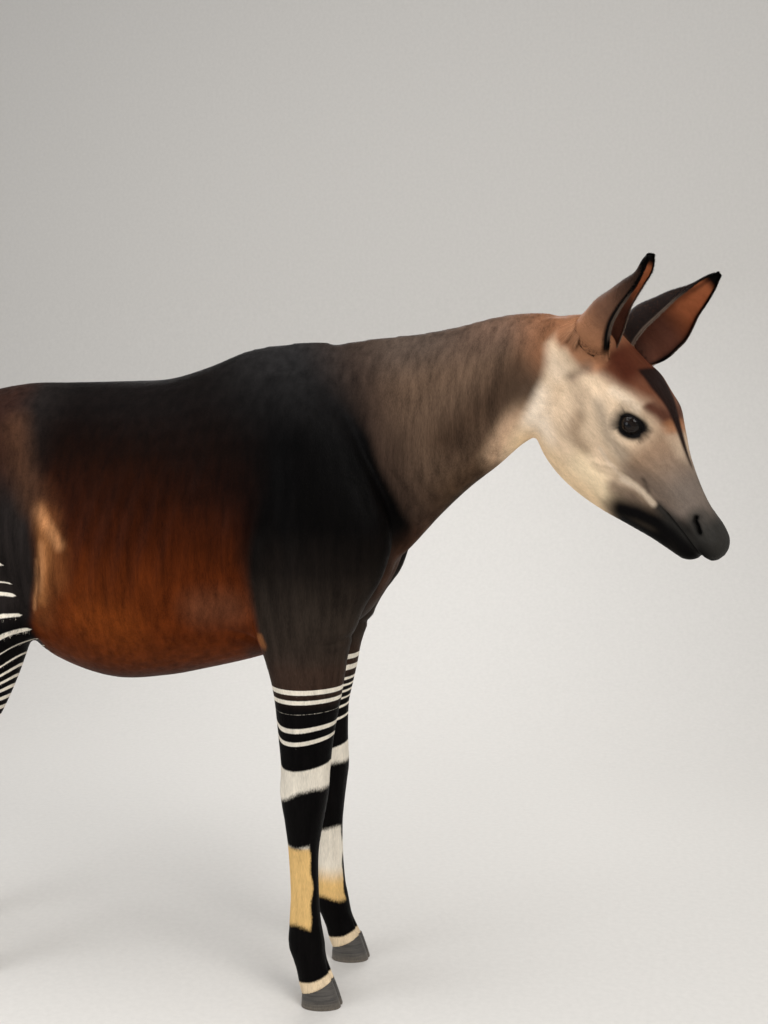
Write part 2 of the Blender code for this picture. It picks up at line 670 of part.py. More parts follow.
def head_whole():
    """The head with brow, cheeks, muzzle and chin, joined into the neck's end."""
    pieces = [in_head(loft("skull", SKULL, rings=48, sides=48))]
    pieces.append(in_head(loft("jaw", JAW, rings=40, sides=40)))
    pieces.append(loft("neck_end", NECK[3:], rings=18, sides=40))
    for side in (RIGHT, LEFT):
        pieces += [in_head(ear_root(side)), in_head(muscle(side, *PAROTID))]
    head = remeshed(joined("head", pieces), HEAD_VOXEL)
    relaxed(head, 16)
    raised(head, to_head(points_of(head)), HEAD_FORMS)
    return relaxed(head, 4)


def ear_axes(side):
    """Root, unit axis, opening direction, sideways direction and length of an ear."""
    flip = Vector((1, side, 1))
    base, tip = EAR_BASE[side] * flip, EAR_TIP[side] * flip
    axis = (tip - base).normalized()
    forward = Vector((1, 0, 0))
    opening = (forward - axis * forward.dot(axis)).normalized()
    opening.rotate(Matrix.Rotation(-EAR_TURN[side] * side, 3, axis))
    return base, axis, opening, axis.cross(opening) * side, (tip - base).length


def ear_form(share):
    """Half width, depth and wrap of the ear at a share of its length."""
    table = np.array(EAR_FORM)
    return [float(np.interp(share, table[:, 0], table[:, k])) for k in (1, 2, 3)]


def ear_rings(side, start, end, count, sides, scale):
    """Closed rings of the ear's outer form, for its gristle."""
    base, axis, opening, across, length = ear_axes(side)
    rings = []
    for i in range(count):
        share = start + (end - start) * i / (count - 1)
        wide, deep, _ = ear_form(share)
        wide, deep = wide * scale, deep * scale
        centre = base + axis * (length * share)
        rings.append([
            np.array(centre + across * (wide * math.cos(a)) + opening * (deep * math.sin(a)))
            for a in (2 * math.pi * j / sides for j in range(sides))
        ])
    return rings


def ear_root(side):
    """The gristle that carries the ear: a short stump out of the skull."""
    points, faces = grid_mesh(ear_rings(side, -0.16, 0.03, 8, 24, 0.96))
    return mesh_object("ear_root", points, faces)


def ear_plug(side):
    """Solid gristle that fills the bottom of the ear's cup."""
    points, faces = grid_mesh(ear_rings(side, 0.00, 0.125, 3, 18, 0.962))
    return mesh_object("ear_plug", points, faces)


def ear(side, along=12, around=10):
    """Rows of the outer and inner faces of a thin cupped leaf, open towards the face."""
    base, axis, opening, across, length = ear_axes(side)
    outer, inner = [], []
    for i in range(along + 1):
        share = EAR_START + (1 - EAR_START) * i / along
        wide, deep, wrap = ear_form(share)
        bend = opening * (0.012 * share**3 - 0.010 * math.sin(math.pi * max(share, 0.0)))
        centre = base + axis * (length * share) + bend
        wall = EAR_WALL * (1 - 0.45 * max(share, 0.0))
        row_out, row_in = [], []
        for j in range(around + 1):
            t = -1 + 2 * j / around
            angle = math.radians(wrap) * t
            direction = across * (math.sin(angle) * wide) - opening * (math.cos(angle) * deep)
            thin = wall * (1 - 0.55 * abs(t) ** 4)
            row_out.append(centre + direction)
            row_in.append(centre + direction * (1 - min(thin / direction.length, 0.5)))
        outer.append(row_out)
        inner.append(row_in)
    return outer, inner


def ear_shell(side):
    """The closed mesh of the ear's outer and inner faces, joined along the rim."""
    outer, inner = ear(side)
    rows, columns = len(outer), len(outer[0])
    points = [np.array(p) for row in outer for p in row] + [np.array(p) for row in inner for p in row]
    offset = rows * columns
    faces = []
    for i in range(rows - 1):
        for j in range(columns - 1):
            a, b = i * columns + j, i * columns + j + 1
            c, d = a + columns, b + columns
            faces += [(a, b, d), (a, d, c)]
            faces += [(offset + a, offset + d, offset + b), (offset + a, offset + c, offset + d)]
    rim = [i * columns for i in range(rows)]
    rim += [(rows - 1) * columns + j for j in range(1, columns)]
    rim += [i * columns + columns - 1 for i in range(rows - 2, -1, -1)]
    rim += [j for j in range(columns - 2, 0, -1)]
    for a, b in zip(rim, rim[1:] + rim[:1]):
        faces += [(a, b, offset + b), (a, offset + b, offset + a)]
    return mesh_object("ear_shell", points, faces)


def nostril_cutter(side):
    """A curved teardrop that opens the nostril."""
    rings = []
    for i in range(9):
        share = i / 8
        thick = 0.0046 * math.sin(math.pi * (0.06 + 0.90 * share)) ** 0.7
        along = NOSTRIL.x - 0.020 + 0.040 * share
        lift = NOSTRIL.z + 0.006 - 0.014 * share + 0.005 * math.sin(math.pi * share)
        centre = Vector((along, side * (NOSTRIL.y + 0.016), lift))
        rings.append([
            np.array(centre + Vector((0, side * 0.020 * math.cos(a), thick * math.sin(a))))
            for a in (2 * math.pi * j / 8 for j in range(8))
        ])
    points, faces = grid_mesh(rings)
    return in_head(mesh_object("nostril", points, faces))


def mouth_cutter():
    """A thin wedge round the muzzle along the line of the lips, open only near the skin."""
    line = spline([(x, z, x, z) for x, z in MOUTH], 8)[:, :2]
    rings = []
    for x, z in line:
        opened = 0.0012 + 0.0008 * smooth(x, MOUTH[0][0], MOUTH[2][0])
        rings.append([
            np.array((x, across, z + up * opened))
            for across, up in ((0.08, 1), (-0.08, 1), (-0.08, -1), (0.08, -1))
        ])
    points, faces = grid_mesh(rings)
    wedge = mesh_object("mouth", points, faces)
    inner = [row._replace(width=row.width - LIP_DEPTH, apower=2.2, bpower=2.2) for row in SKULL[5:-2]]
    core = loft("mouth_core", inner, 12, 20, lambda points: points - (LIP_DEPTH / 2, 0, 0))
    boolean(wedge, core, "DIFFERENCE")
    removed([core])
    return in_head(wedge)


def eyeball(name, side, radius):
    """An eye as a ball whose poles point along the gaze."""
    bm = bmesh.new()
    bmesh.ops.create_uvsphere(bm, u_segments=14, v_segments=8, radius=radius)
    obj = mesh_object(name, [], [])
    bm.to_mesh(obj.data)
    bm.free()
    look = Matrix.Rotation(math.radians(-90) * side, 4, "X")
    centre = EYE_CENTRE * Vector((1, side, 1))
    obj.data.transform(head_frame() @ Matrix.Translation(centre) @ look)
    return obj


def lid(side, upper):
    """A lid as a band that lies on the eyeball and runs from corner to corner."""
    centre = EYE_CENTRE * Vector((1, side, 1))
    sign = 1 if upper else -1
    opening = EYE_OPENING[1] if upper else EYE_OPENING[2]
    cos, sin = math.cos(EYE_TILT), math.sin(EYE_TILT)
    rings = []
    count = 11
    for i in range(count):
        t = -1 + 2 * i / (count - 1)
        bow = math.cos(t * math.pi / 2)
        sweep = EYE_OPENING[0] * t * (1.0 if upper else 0.92)
        row = []
        for radius, lift in ((0.95, -1), (1.10, -1), (1.16, 10), (1.08, 34), (0.90, 38), (0.86, 12)):
            up = sign * (opening * bow**0.8 + math.radians(lift) * (0.40 + 0.60 * bow))
            x, z = math.sin(sweep) * math.cos(up), math.sin(up)
            y = side * math.cos(sweep) * math.cos(up)
            turned = Vector((x * cos - z * sin, y, x * sin + z * cos))
            row.append(np.array(centre + turned * (EYE_RADIUS * radius)))
        rings.append(row)
    points, faces = grid_mesh(rings)
    return in_head(mesh_object("lid", points, faces))


def foot(side, fore):
    row = (FORELEG if fore else HIND_LEG)[-2]
    forward, outward = offsets((FORE_SET if fore else HIND_SET)[side], 0.03)
    toe = row.ax + forward + TOE
    heel = row.bx + forward + 0.006
    return Foot(toe - 0.022, heel + 0.002, toe, heel, side * (row.side + outward))


def coronet_height(x, one):
    return CORONET_BACK + (CORONET_FRONT - CORONET_BACK) * (x - one.back) / (one.front - one.back)


def claw(name, side, inner, fore):
    """One claw of a hoof: a wall that narrows to the toe and stands on its flat sole."""
    one = foot(side, fore)
    out = -side if inner else side
    rings = []
    for share, spread in ((0.0, 1.0), (0.45, 0.985), (1.0, 0.93)):
        front = one.toe + (one.front - one.toe) * share
        back = one.heel + (one.back - one.heel) * share
        half = (front - back) / 2
        row = []
        for j in range(12):
            angle = math.pi * (j / 11 - 0.5)
            x = (front + back) / 2 + half * math.sin(angle)
            toe = (math.sin(angle) + 1) / 2
            wide = HOOF_WIDTH * spread * max(math.cos(angle), 0.0) ** 0.55 * (1 - 0.30 * toe**3)
            row.append((x, CLEFT / 2 + max(wide, 0.0035)))
        for j in range(4):
            share_back = (j + 0.5) / 4
            row.append((front + (back - front) * share_back, CLEFT / 2))
        rings.append([
            np.array((x, one.middle + out * y, share * (coronet_height(x, one) - GAP))) for x, y in row
        ])
    points, faces = grid_mesh(rings)
    return mesh_object(name, points, faces)


def lock(root, tip, width, bend, rng):
    """One flat, tapered lock of hair with a pointed end."""
    along = (tip - root).normalized()
    across = along.cross(Vector((rng.normal(), rng.normal(), 0.2))).normalized()
    flat = along.cross(across)
    rings = []
    for share in (0.0, 0.3, 0.6, 0.85, 1.0):
        centre = root.lerp(tip, share) + bend * math.sin(math.pi * share)
        wide = width * (1 - share**1.6) + 0.0011
        rings.append([
            np.array(centre + across * (wide * math.cos(a)) + flat * (0.45 * wide * math.sin(a)))
            for a in (2 * math.pi * j / 5 for j in range(5))
        ])
    points, faces = grid_mesh(rings)
    return mesh_object("lock", points, faces)


def tuft(name):
    """The tail's brush: a short core with locks set round it, out to their tips."""
    rng = np.random.default_rng(7)
    start, end = TUFT_START, TUFT_START + 0.24

    def core_radius(share):
        t = min(max((share - start) / (end - start), 0.0), 1.0)
        return 0.0128 + 0.004 * math.sin(math.pi * t) - 0.009 * t**3

    lower = GAP / TAIL_LENGTH
    points, faces = grid_mesh(tail_rings(start + lower, end, 6, 12, core_radius))
    core = mesh_object(name, points, faces)
    locks = []
    for i in range(TUFT_LOCKS):
        angle = 2 * math.pi * (i * 0.382)
        down = (i + 0.5) / TUFT_LOCKS
        share = start + 0.06 + (end - start - 0.08) * down
        out = Vector((math.cos(angle), math.sin(angle), 0))
        root = tail_point(share) + out * 0.005
        reach = TUFT_LENGTH * (0.50 + 0.32 * down + 0.10 * rng.random())
        tip = root + Vector((-0.008, 0, -reach)) + out * (0.010 + 0.010 * rng.random())
        locks.append(lock(root, tip, 0.0078, out * 0.006, rng))
    return union(core, locks)


def finish(obj, name, colour, roughness):
    """Gives the object its name, its own material and smooth shading."""
    obj.name = name
    made = bpy.data.materials.new(name)
    made.use_nodes = True
    shader = made.node_tree.nodes["Principled BSDF"]
    shader.inputs["Base Color"].default_value = (*colour, 1.0)
    shader.inputs["Roughness"].default_value = roughness
    shader.inputs["Metallic"].default_value = 0.0
    obj.data.materials.clear()
    obj.data.materials.append(made)
    obj.data.shade_smooth()
    obj.data.set_sharp_from_angle(angle=math.radians(50))
    obj.data.transform(Matrix.Translation(SHIFT))


def side_name(side):
    return "right" if side == RIGHT else "left"


def end_name(fore):
    return "fore" if fore else "hind"


def head_parts():
    """The head with its features, cut from the neck, and the ears and eyes."""
    head = decimated(head_whole(), HEAD_TRIANGLES)
    away = block(NECK_END, NECK_END_WAY * -1, (0, 0, 1), (0.8, 0.8, 0.5), -GAP / 2)
    boolean(head, away, "DIFFERENCE")
    removed([away])
    pieces = []
    for side in (RIGHT, LEFT):
        pieces += [in_head(ear_shell(side)), in_head(ear_plug(side)), lid(side, True), lid(side, False)]
    union(head, pieces)
    cutters = [eyeball("socket", side, EYE_RADIUS + GAP) for side in (RIGHT, LEFT)]
    cutters += [nostril_cutter(side) for side in (RIGHT, LEFT)]
    cutters.append(mouth_cutter())
    for cutter in cutters:
        boolean(head, cutter, "DIFFERENCE")
    removed(cutters)
    parts = {"head": head}
    matrix = head_frame()
    for side in (RIGHT, LEFT):
        base, axis, opening, _, length = ear_axes(side)
        point = matrix @ (base + axis * (length * EAR_CUT))
        turn = matrix.to_3x3()
        name = "ear_" + side_name(side)
        parts[name] = part_off(head, name, point, turn @ axis, turn @ opening, (0.20, 0.17, 0.5))
        parts["eye_" + side_name(side)] = eyeball("eye", side, EYE_RADIUS)
    return parts


def body_parts():
    """Torso, neck, tail root and legs, cut from the blended body."""
    body = decimated(body_whole(), BODY_TRIANGLES)
    away = [block(NECK_END, NECK_END_WAY, (0, 0, 1), (0.9, 0.9, 0.8), -GAP / 2)]
    tail_way = tail_point(TAIL_CUT + 0.01) - tail_point(TAIL_CUT - 0.01)
    away.append(block(tail_point(TAIL_CUT), tail_way, (0, 0, 1), (0.062, 0.062, 0.05), -GAP))
    for side in (RIGHT, LEFT):
        for fore in (True, False):
            one = foot(side, fore)
            point = ((one.front + one.back) / 2, one.middle, (CORONET_FRONT + CORONET_BACK) / 2)
            slope = (CORONET_FRONT - CORONET_BACK) / (one.front - one.back)
            away.append(block(point, (slope, 0, -1), (1, 0, 0), (0.2, 0.2, 0.2), 0))
    for cutter in away:
        boolean(body, cutter, "DIFFERENCE")
    removed(away)
    parts = {}
    down, ahead = (0, 0, -1), (1, 0, 0)
    for side in (RIGHT, LEFT):
        for fore, levels, middle, span in (
            (True, FORE_CUTS, 0.07, 0.34),
            (False, HIND_CUTS, -0.875, 0.56),
        ):
            for level, piece in zip(levels, ("cannon", "upper_leg")):
                name = f"{end_name(fore)}_{piece}_{side_name(side)}"
                point = (middle, side * 0.132, level)
                parts[name] = part_off(body, name, point, down, ahead, (span, 0.23, 1.2))
    parts["neck"] = part_off(body, "neck", NECK_BASE, NECK_BASE_WAY, (0, 0, 1), (1.1, 0.9, 0.9))
    parts["torso"] = body
    return parts


def colour_of(name):
    """The main colour and roughness of a piece, by its name."""
    for start, colour, roughness in (
        ("head", FACE, 0.7), ("ear", EAR_COAT, 0.7), ("neck", NECK_COAT, 0.6), ("eye", EYE, 0.1),
        ("hoof", HORN, 0.5), ("torso", COAT, 0.55),
    ):
        if name.startswith(start):
            return colour, roughness
    return BLACK, 0.6


def main():
    removed(list(bpy.data.objects))
    parts = head_parts()
    parts.update(body_parts())
    parts["tail"] = tail()
    parts["tail_tuft"] = tuft("tail_tuft")
    for side in (RIGHT, LEFT):
        for fore in (True, False):
            for inner in (True, False):
                name = f"hoof_{end_name(fore)}_{side_name(side)}_{'inner' if inner else 'outer'}"
                parts[name] = claw(name, side, inner, fore)
    for name, obj in parts.items():
        finish(obj, name, *colour_of(name))


main()
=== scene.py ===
"""Looks of a life-size okapi: one skin with its ears and lids, coat, eyes, hooves and tail hair.

The shapes are worked out in the same frame as the solids before they are centred, and SHIFT
then moves each piece to its place. +X is towards the nose, +Y the animal's left, metres.
"""

import math
from collections import namedtuple

import bmesh
import bpy
import numpy as np
from mathutils import Matrix, Vector
from mathutils.bvhtree import BVHTree


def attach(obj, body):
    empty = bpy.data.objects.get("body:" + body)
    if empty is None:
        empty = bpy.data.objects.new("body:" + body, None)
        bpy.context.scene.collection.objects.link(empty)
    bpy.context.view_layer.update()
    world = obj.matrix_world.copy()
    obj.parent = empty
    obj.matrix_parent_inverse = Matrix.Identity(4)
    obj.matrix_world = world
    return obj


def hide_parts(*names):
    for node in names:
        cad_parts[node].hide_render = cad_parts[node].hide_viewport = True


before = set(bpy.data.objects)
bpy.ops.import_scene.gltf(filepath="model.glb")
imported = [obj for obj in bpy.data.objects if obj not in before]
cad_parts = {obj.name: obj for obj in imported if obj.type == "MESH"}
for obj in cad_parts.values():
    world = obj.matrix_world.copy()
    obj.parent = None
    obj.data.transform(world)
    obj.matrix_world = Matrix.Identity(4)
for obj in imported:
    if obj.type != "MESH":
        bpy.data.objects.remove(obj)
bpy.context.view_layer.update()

RIGHT, LEFT = -1, 1
SIDES = (RIGHT, LEFT)
SHIFT = Vector((0.0512, 0.0408, 0.0))
SEED = 11

# Fineness of the skin's first mesh, and how far the skin lies inside the solids.
VOXEL = 0.0065
COAT_DEPTH = 0.0016

# The level plane across the body that parts the forelegs from the hind legs.
MIDRIFF = -0.3

# A station of a loft: the two edge points in the lofting plane, the sideways middle, half the
# width, where along the edge line the body is widest, and the roundness of both halves.
Station = namedtuple("Station", "ax az bx bz side width widest apower bpower")


def station(a, b, side, width, widest=0.5, apower=2.0, bpower=2.0):
    return Station(a[0], a[1], b[0], b[1], side, width, widest, apower, bpower)


# The trunk, from the rump to the breast: back line and belly line.
TRUNK = (
    station((-0.985, 1.190), (-0.990, 1.02), 0, 0.070, 0.5),
    station((-0.962, 1.262), (-0.972, 0.93), 0, 0.132, 0.5),
    station((-0.890, 1.350), (-0.900, 0.87), 0, 0.176, 0.55, 2.0, 2.0),
    station((-0.780, 1.418), (-0.790, 0.84), 0, 0.200, 0.58, 1.9, 2.0),
    station((-0.660, 1.444), (-0.670, 0.838), 0, 0.212, 0.52, 1.75, 2.1),
    station((-0.545, 1.447), (-0.560, 0.766), 0, 0.227, 0.46, 1.7, 2.2),
    station((-0.420, 1.449), (-0.420, 0.727), 0, 0.242, 0.43, 1.75, 2.2),
    station((-0.290, 1.454), (-0.290, 0.737), 0, 0.246, 0.43, 1.75, 2.2),
    station((-0.190, 1.481), (-0.190, 0.758), 0, 0.238, 0.42, 1.65, 2.1),
    station((-0.090, 1.519), (-0.090, 0.783), 0, 0.221, 0.42, 1.5, 2.1),
    station((0.005, 1.533), (0.000, 0.812), 0, 0.201, 0.43, 1.4, 2.0),
    station((0.100, 1.535), (0.100, 0.848), 0, 0.179, 0.45, 1.4, 2.0),
    station((0.175, 1.500), (0.190, 0.895), 0, 0.152, 0.45, 1.6, 2.0),
    station((0.235, 1.400), (0.255, 0.985), 0, 0.116, 0.45, 1.8, 2.0),
    station((0.262, 1.270), (0.285, 1.060), 0, 0.060, 0.5),
)

# The neck, from inside the shoulders to the throat: crest line and throat line.
NECK = (
    station((0.020, 1.515), (0.225, 0.985), 0, 0.120, 0.45, 1.6, 1.9),
    station((0.195, 1.541), (0.305, 1.055), -0.004, 0.118, 0.45, 1.6, 1.9),
    station((0.323, 1.552), (0.372, 1.135), -0.020, 0.102, 0.45, 1.7, 1.9),
    station((0.418, 1.566), (0.440, 1.200), -0.042, 0.091, 0.45, 1.8, 2.0),
    station((0.510, 1.585), (0.512, 1.256), -0.064, 0.084, 0.47, 1.8, 2.0),
    station((0.596, 1.590), (0.572, 1.308), -0.085, 0.078, 0.50, 1.9, 2.0),
    station((0.655, 1.578), (0.628, 1.340), -0.098, 0.074, 0.52, 2.0, 2.0),
    station((0.705, 1.540), (0.682, 1.390), -0.110, 0.062, 0.52, 2.0, 2.0),
)

# Shoulder, upper arm and foreleg: front line and back line. Sideways is out from the middle.
FORELEG = (
    station((0.070, 1.470), (-0.040, 1.460), 0.050, 0.030, 0.5),
    station((0.170, 1.370), (-0.055, 1.360), 0.088, 0.056, 0.5),
    station((0.240, 1.240), (-0.070, 1.215), 0.112, 0.074, 0.5),
    station((0.275, 1.110), (-0.082, 1.075), 0.121, 0.086, 0.5),
    station((0.262, 1.010), (-0.070, 0.985), 0.127, 0.086, 0.5),
    station((0.218, 0.930), (-0.045, 0.905), 0.129, 0.080, 0.5),
    station((0.188, 0.850), (-0.022, 0.835), 0.129, 0.072, 0.5),
    station((0.170, 0.750), (0.003, 0.745), 0.128, 0.062, 0.5),
    station((0.148, 0.640), (0.014, 0.640), 0.124, 0.052, 0.5),
    station((0.137, 0.560), (0.020, 0.560), 0.121, 0.046, 0.5, 2.2, 2.2),
    station((0.131, 0.495), (0.017, 0.500), 0.119, 0.046, 0.55, 2.4, 2.2),
    station((0.118, 0.430), (0.027, 0.430), 0.117, 0.039, 0.55, 2.4, 2.2),
    station((0.107, 0.360), (0.035, 0.360), 0.116, 0.031, 0.55, 2.2, 2.2),
    station((0.107, 0.260), (0.039, 0.260), 0.115, 0.028, 0.55, 2.2, 2.2),
    station((0.112, 0.190), (0.036, 0.186), 0.115, 0.032, 0.55, 2.2, 2.2),
    station((0.119, 0.150), (0.034, 0.138), 0.115, 0.037, 0.5, 2.3, 2.2),
    station((0.123, 0.110), (0.052, 0.088), 0.115, 0.036, 0.5, 2.2, 2.2),
    station((0.136, 0.072), (0.062, 0.040), 0.115, 0.040, 0.5, 2.3, 2.2),
    station((0.150, 0.036), (0.074, 0.010), 0.115, 0.043, 0.5, 2.3, 2.2),
)

# Haunch, thigh and hind leg: front line and back line.
HIND_LEG = (
    station((-0.700, 1.405), (-0.850, 1.370), 0.080, 0.040, 0.5),
    station((-0.635, 1.335), (-0.920, 1.290), 0.102, 0.074, 0.5),
    station((-0.590, 1.235), (-0.990, 1.180), 0.119, 0.087, 0.5),
    station((-0.562, 1.130), (-1.018, 1.075), 0.126, 0.092, 0.5),
    station((-0.548, 1.020), (-1.005, 0.965), 0.132, 0.089, 0.5),
    station((-0.566, 0.925), (-0.955, 0.870), 0.137, 0.082, 0.5),
    station((-0.598, 0.835), (-0.900, 0.780), 0.139, 0.073, 0.5),
    station((-0.638, 0.730), (-0.868, 0.690), 0.140, 0.061, 0.5),
    station((-0.690, 0.632), (-0.868, 0.618), 0.137, 0.050, 0.5),
    station((-0.752, 0.545), (-0.895, 0.565), 0.134, 0.043, 0.5, 2.2, 1.8),
    station((-0.782, 0.480), (-0.900, 0.505), 0.132, 0.041, 0.55, 2.3, 1.9),
    station((-0.794, 0.410), (-0.882, 0.415), 0.130, 0.035, 0.55, 2.3, 2.1),
    station((-0.794, 0.330), (-0.868, 0.330), 0.129, 0.029, 0.55, 2.2, 2.2),
    station((-0.786, 0.240), (-0.856, 0.240), 0.128, 0.027, 0.55, 2.2, 2.2),
    station((-0.776, 0.180), (-0.858, 0.172), 0.128, 0.031, 0.55, 2.2, 2.2),
    station((-0.766, 0.145), (-0.858, 0.130), 0.128, 0.037, 0.5, 2.3, 2.2),
    station((-0.756, 0.105), (-0.836, 0.084), 0.128, 0.035, 0.5, 2.2, 2.2),
    station((-0.740, 0.070), (-0.818, 0.040), 0.128, 0.039, 0.5, 2.3, 2.2),
    station((-0.726, 0.036), (-0.806, 0.010), 0.128, 0.042, 0.5, 2.3, 2.2),
)

# How far each leg is set forward and outward of the outlines above, by height: z, x, y.
FORE_SET = {
    RIGHT: ((1.0, 0.0, 0.0), (0.0, 0.0, 0.0)),
    LEFT: ((0.98, -0.006, 0.0), (0.80, -0.032, 0.004), (0.66, -0.036, 0.010), (0.50, -0.018, 0.018),
           (0.38, -0.010, 0.024), (0.15, -0.010, 0.032), (0.0, 0.004, 0.034)),
}
HIND_SET = {
    RIGHT: ((1.0, 0.0, 0.0), (0.0, 0.0, 0.0)),
    LEFT: ((1.15, 0.0, 0.0), (1.0, -0.020, 0.0), (0.85, -0.105, 0.0), (0.75, -0.158, 0.002),
           (0.60, -0.190, 0.004), (0.40, -0.205, 0.006), (0.0, -0.215, 0.008)),
}

LEG_OUTLINE = {True: FORELEG, False: HIND_LEG}
LEG_SET = {True: FORE_SET, False: HIND_SET}
LEGS = tuple((side, fore) for side in SIDES for fore in (True, False))

# The head's own frame: where its skull meets the neck, and how far it is lowered and turned.
HEAD_ORIGIN = Vector((0.678, -0.100, 1.518))
HEAD_PITCH = math.radians(48)
HEAD_TURN = math.radians(-23)
HEAD_ROLL = math.radians(5)

# The head in its own frame, X along the face and Z towards the brow: brow line and jaw line.
SKULL = (
    station((-0.065, 0.025), (-0.050, -0.085), 0, 0.052, 0.6),
    station((-0.020, 0.072), (-0.015, -0.110), 0, 0.068, 0.6, 1.9, 2.2),
    station((0.040, 0.092), (0.045, -0.120), 0, 0.073, 0.62, 1.9, 2.3),
    station((0.110, 0.094), (0.110, -0.125), 0, 0.077, 0.66, 2.1, 2.4),
    station((0.180, 0.091), (0.180, -0.120), 0, 0.084, 0.66, 2.4, 2.4),
    station((0.240, 0.082), (0.235, -0.108), 0, 0.085, 0.66, 2.5, 2.3),
    station((0.295, 0.062), (0.290, -0.098), 0, 0.073, 0.62, 2.3, 2.3),
    station((0.345, 0.041), (0.340, -0.089), 0, 0.059, 0.58, 2.0, 2.2),
    station((0.400, 0.022), (0.395, -0.080), 0, 0.049, 0.53, 1.9, 2.2),
    station((0.455, 0.006), (0.455, -0.072), 0, 0.044, 0.50, 1.9, 2.2),
    station((0.505, -0.001), (0.510, -0.067), 0, 0.042, 0.50, 2.1, 2.3),
    station((0.530, -0.010), (0.538, -0.060), 0, 0.035, 0.50, 2.3, 2.3),
    station((0.544, -0.026), (0.548, -0.050), 0, 0.018, 0.5),
)

# The lower jaw with its chewing muscle: upper edge inside the skull, and the jaw line.
JAW = (
    station((-0.020, 0.030), (-0.010, -0.120), 0, 0.050, 0.5),
    station((0.035, 0.035), (0.050, -0.176), 0, 0.066, 0.45, 2.4, 2.3),
    station((0.100, 0.030), (0.116, -0.204), 0, 0.074, 0.42, 2.6, 2.5),
    station((0.165, 0.015), (0.176, -0.211), 0, 0.074, 0.42, 2.6, 2.5),
    station((0.230, -0.010), (0.238, -0.205), 0, 0.065, 0.42, 2.6, 2.4),
    station((0.296, -0.025), (0.304, -0.187), 0, 0.053, 0.44, 2.4, 2.2),
    station((0.356, -0.038), (0.366, -0.161), 0, 0.044, 0.46, 2.2, 2.1),
    station((0.415, -0.050), (0.424, -0.136), 0, 0.038, 0.5, 2.2, 2.1),
    station((0.462, -0.054), (0.470, -0.119), 0, 0.035, 0.5, 2.3, 2.1),
    station((0.500, -0.056), (0.503, -0.103), 0, 0.027, 0.5, 2.3, 2.1),
    station((0.516, -0.064), (0.516, -0.086), 0, 0.011, 0.5),
)

# Masses that the outlines alone don't give, as balls inside them: middle with sideways out
# from the middle line, radii, and the turn about the sideways axis in degrees.
MUSCLES = (
    ((0.045, 0.080, 1.250), (0.100, 0.088, 0.165), 20),
    ((0.190, 0.106, 1.085), (0.072, 0.082, 0.090), 0),
    ((0.020, 0.123, 1.050), (0.105, 0.088, 0.150), -18),
    ((0.005, 0.128, 0.880), (0.038, 0.048, 0.070), 0),
    ((-0.780, 0.122, 1.200), (0.185, 0.097, 0.165), 12),
    ((-0.930, 0.080, 1.160), (0.070, 0.070, 0.100), 0),
    ((-0.632, 0.143, 0.900), (0.060, 0.064, 0.105), 12),
)
FLANK_FOLD = ((-0.600, 0.150, 0.925), (0.100, 0.040, 0.080), 35)
PAROTID = ((-0.012, 0.040, -0.050), (0.080, 0.040, 0.095))

# Bones and hollows of the body's surface: place with sideways out from the middle line,
# reach along the three axes, and height.
BODY_FORMS = (
    ((0.085, 0.16, 1.34), (0.035, 0.10, 0.110), 0.007),
    ((0.255, 0.12, 1.10), (0.045, 0.06, 0.050), 0.008),
    ((-0.115, 0.22, 1.12), (0.040, 0.12, 0.180), -0.010),
    ((-0.640, 0.19, 1.370), (0.062, 0.08, 0.055), 0.005),
    ((-0.520, 0.22, 1.230), (0.080, 0.12, 0.080), -0.013),
    ((-0.975, 0.09, 1.215), (0.042, 0.05, 0.048), 0.007),
    ((-0.590, 0.20, 0.880), (0.040, 0.06, 0.060), 0.007),
    ((-0.030, 0.15, 0.885), (0.022, 0.05, 0.028), 0.006),
    ((0.290, 0.00, 1.060), (0.050, 0.02, 0.090), -0.008),
    ((-1.000, 0.00, 1.050), (0.060, 0.02, 0.110), -0.012),
)

# Forms of the head that stand out of its smooth loft or sink into it, in the head's frame.
HEAD_FORMS = (
    ((0.225, 0.080, 0.013), (0.021, 0.030, 0.017), -0.0110),
    ((0.247, 0.080, 0.023), (0.021, 0.030, 0.017), -0.0110),
    ((0.226, 0.074, 0.055), (0.034, 0.020, 0.013), 0.0080),
    ((0.262, 0.080, -0.006), (0.034, 0.020, 0.012), 0.0030),
    ((0.160, 0.080, 0.052), (0.028, 0.020, 0.016), -0.0060),
    ((0.150, 0.086, -0.002), (0.055, 0.020, 0.014), 0.0040),
    ((0.225, 0.075, -0.040), (0.040, 0.020, 0.015), -0.0035),
    ((0.300, 0.062, -0.020), (0.050, 0.020, 0.011), 0.0035),
    ((0.325, 0.050, 0.022), (0.040, 0.018, 0.012), -0.0035),
    ((0.130, 0.070, -0.105), (0.050, 0.025, 0.050), 0.0050),
    ((0.212, 0.060, -0.110), (0.018, 0.025, 0.045), -0.0030),
    ((0.360, 0.040, -0.072), (0.035, 0.020, 0.015), 0.0035),
    ((0.215, 0.000, 0.080), (0.040, 0.030, 0.020), 0.0030),
    ((0.170, 0.045, 0.082), (0.022, 0.016, 0.020), 0.0050),
    ((0.420, 0.028, 0.018), (0.040, 0.012, 0.012), -0.0020),
    ((0.488, 0.040, 0.004), (0.022, 0.014, 0.012), 0.0045),
    ((0.520, 0.000, -0.058), (0.020, 0.030, 0.008), 0.0030),
    ((0.500, 0.000, -0.098), (0.020, 0.022, 0.014), 0.0040),
)

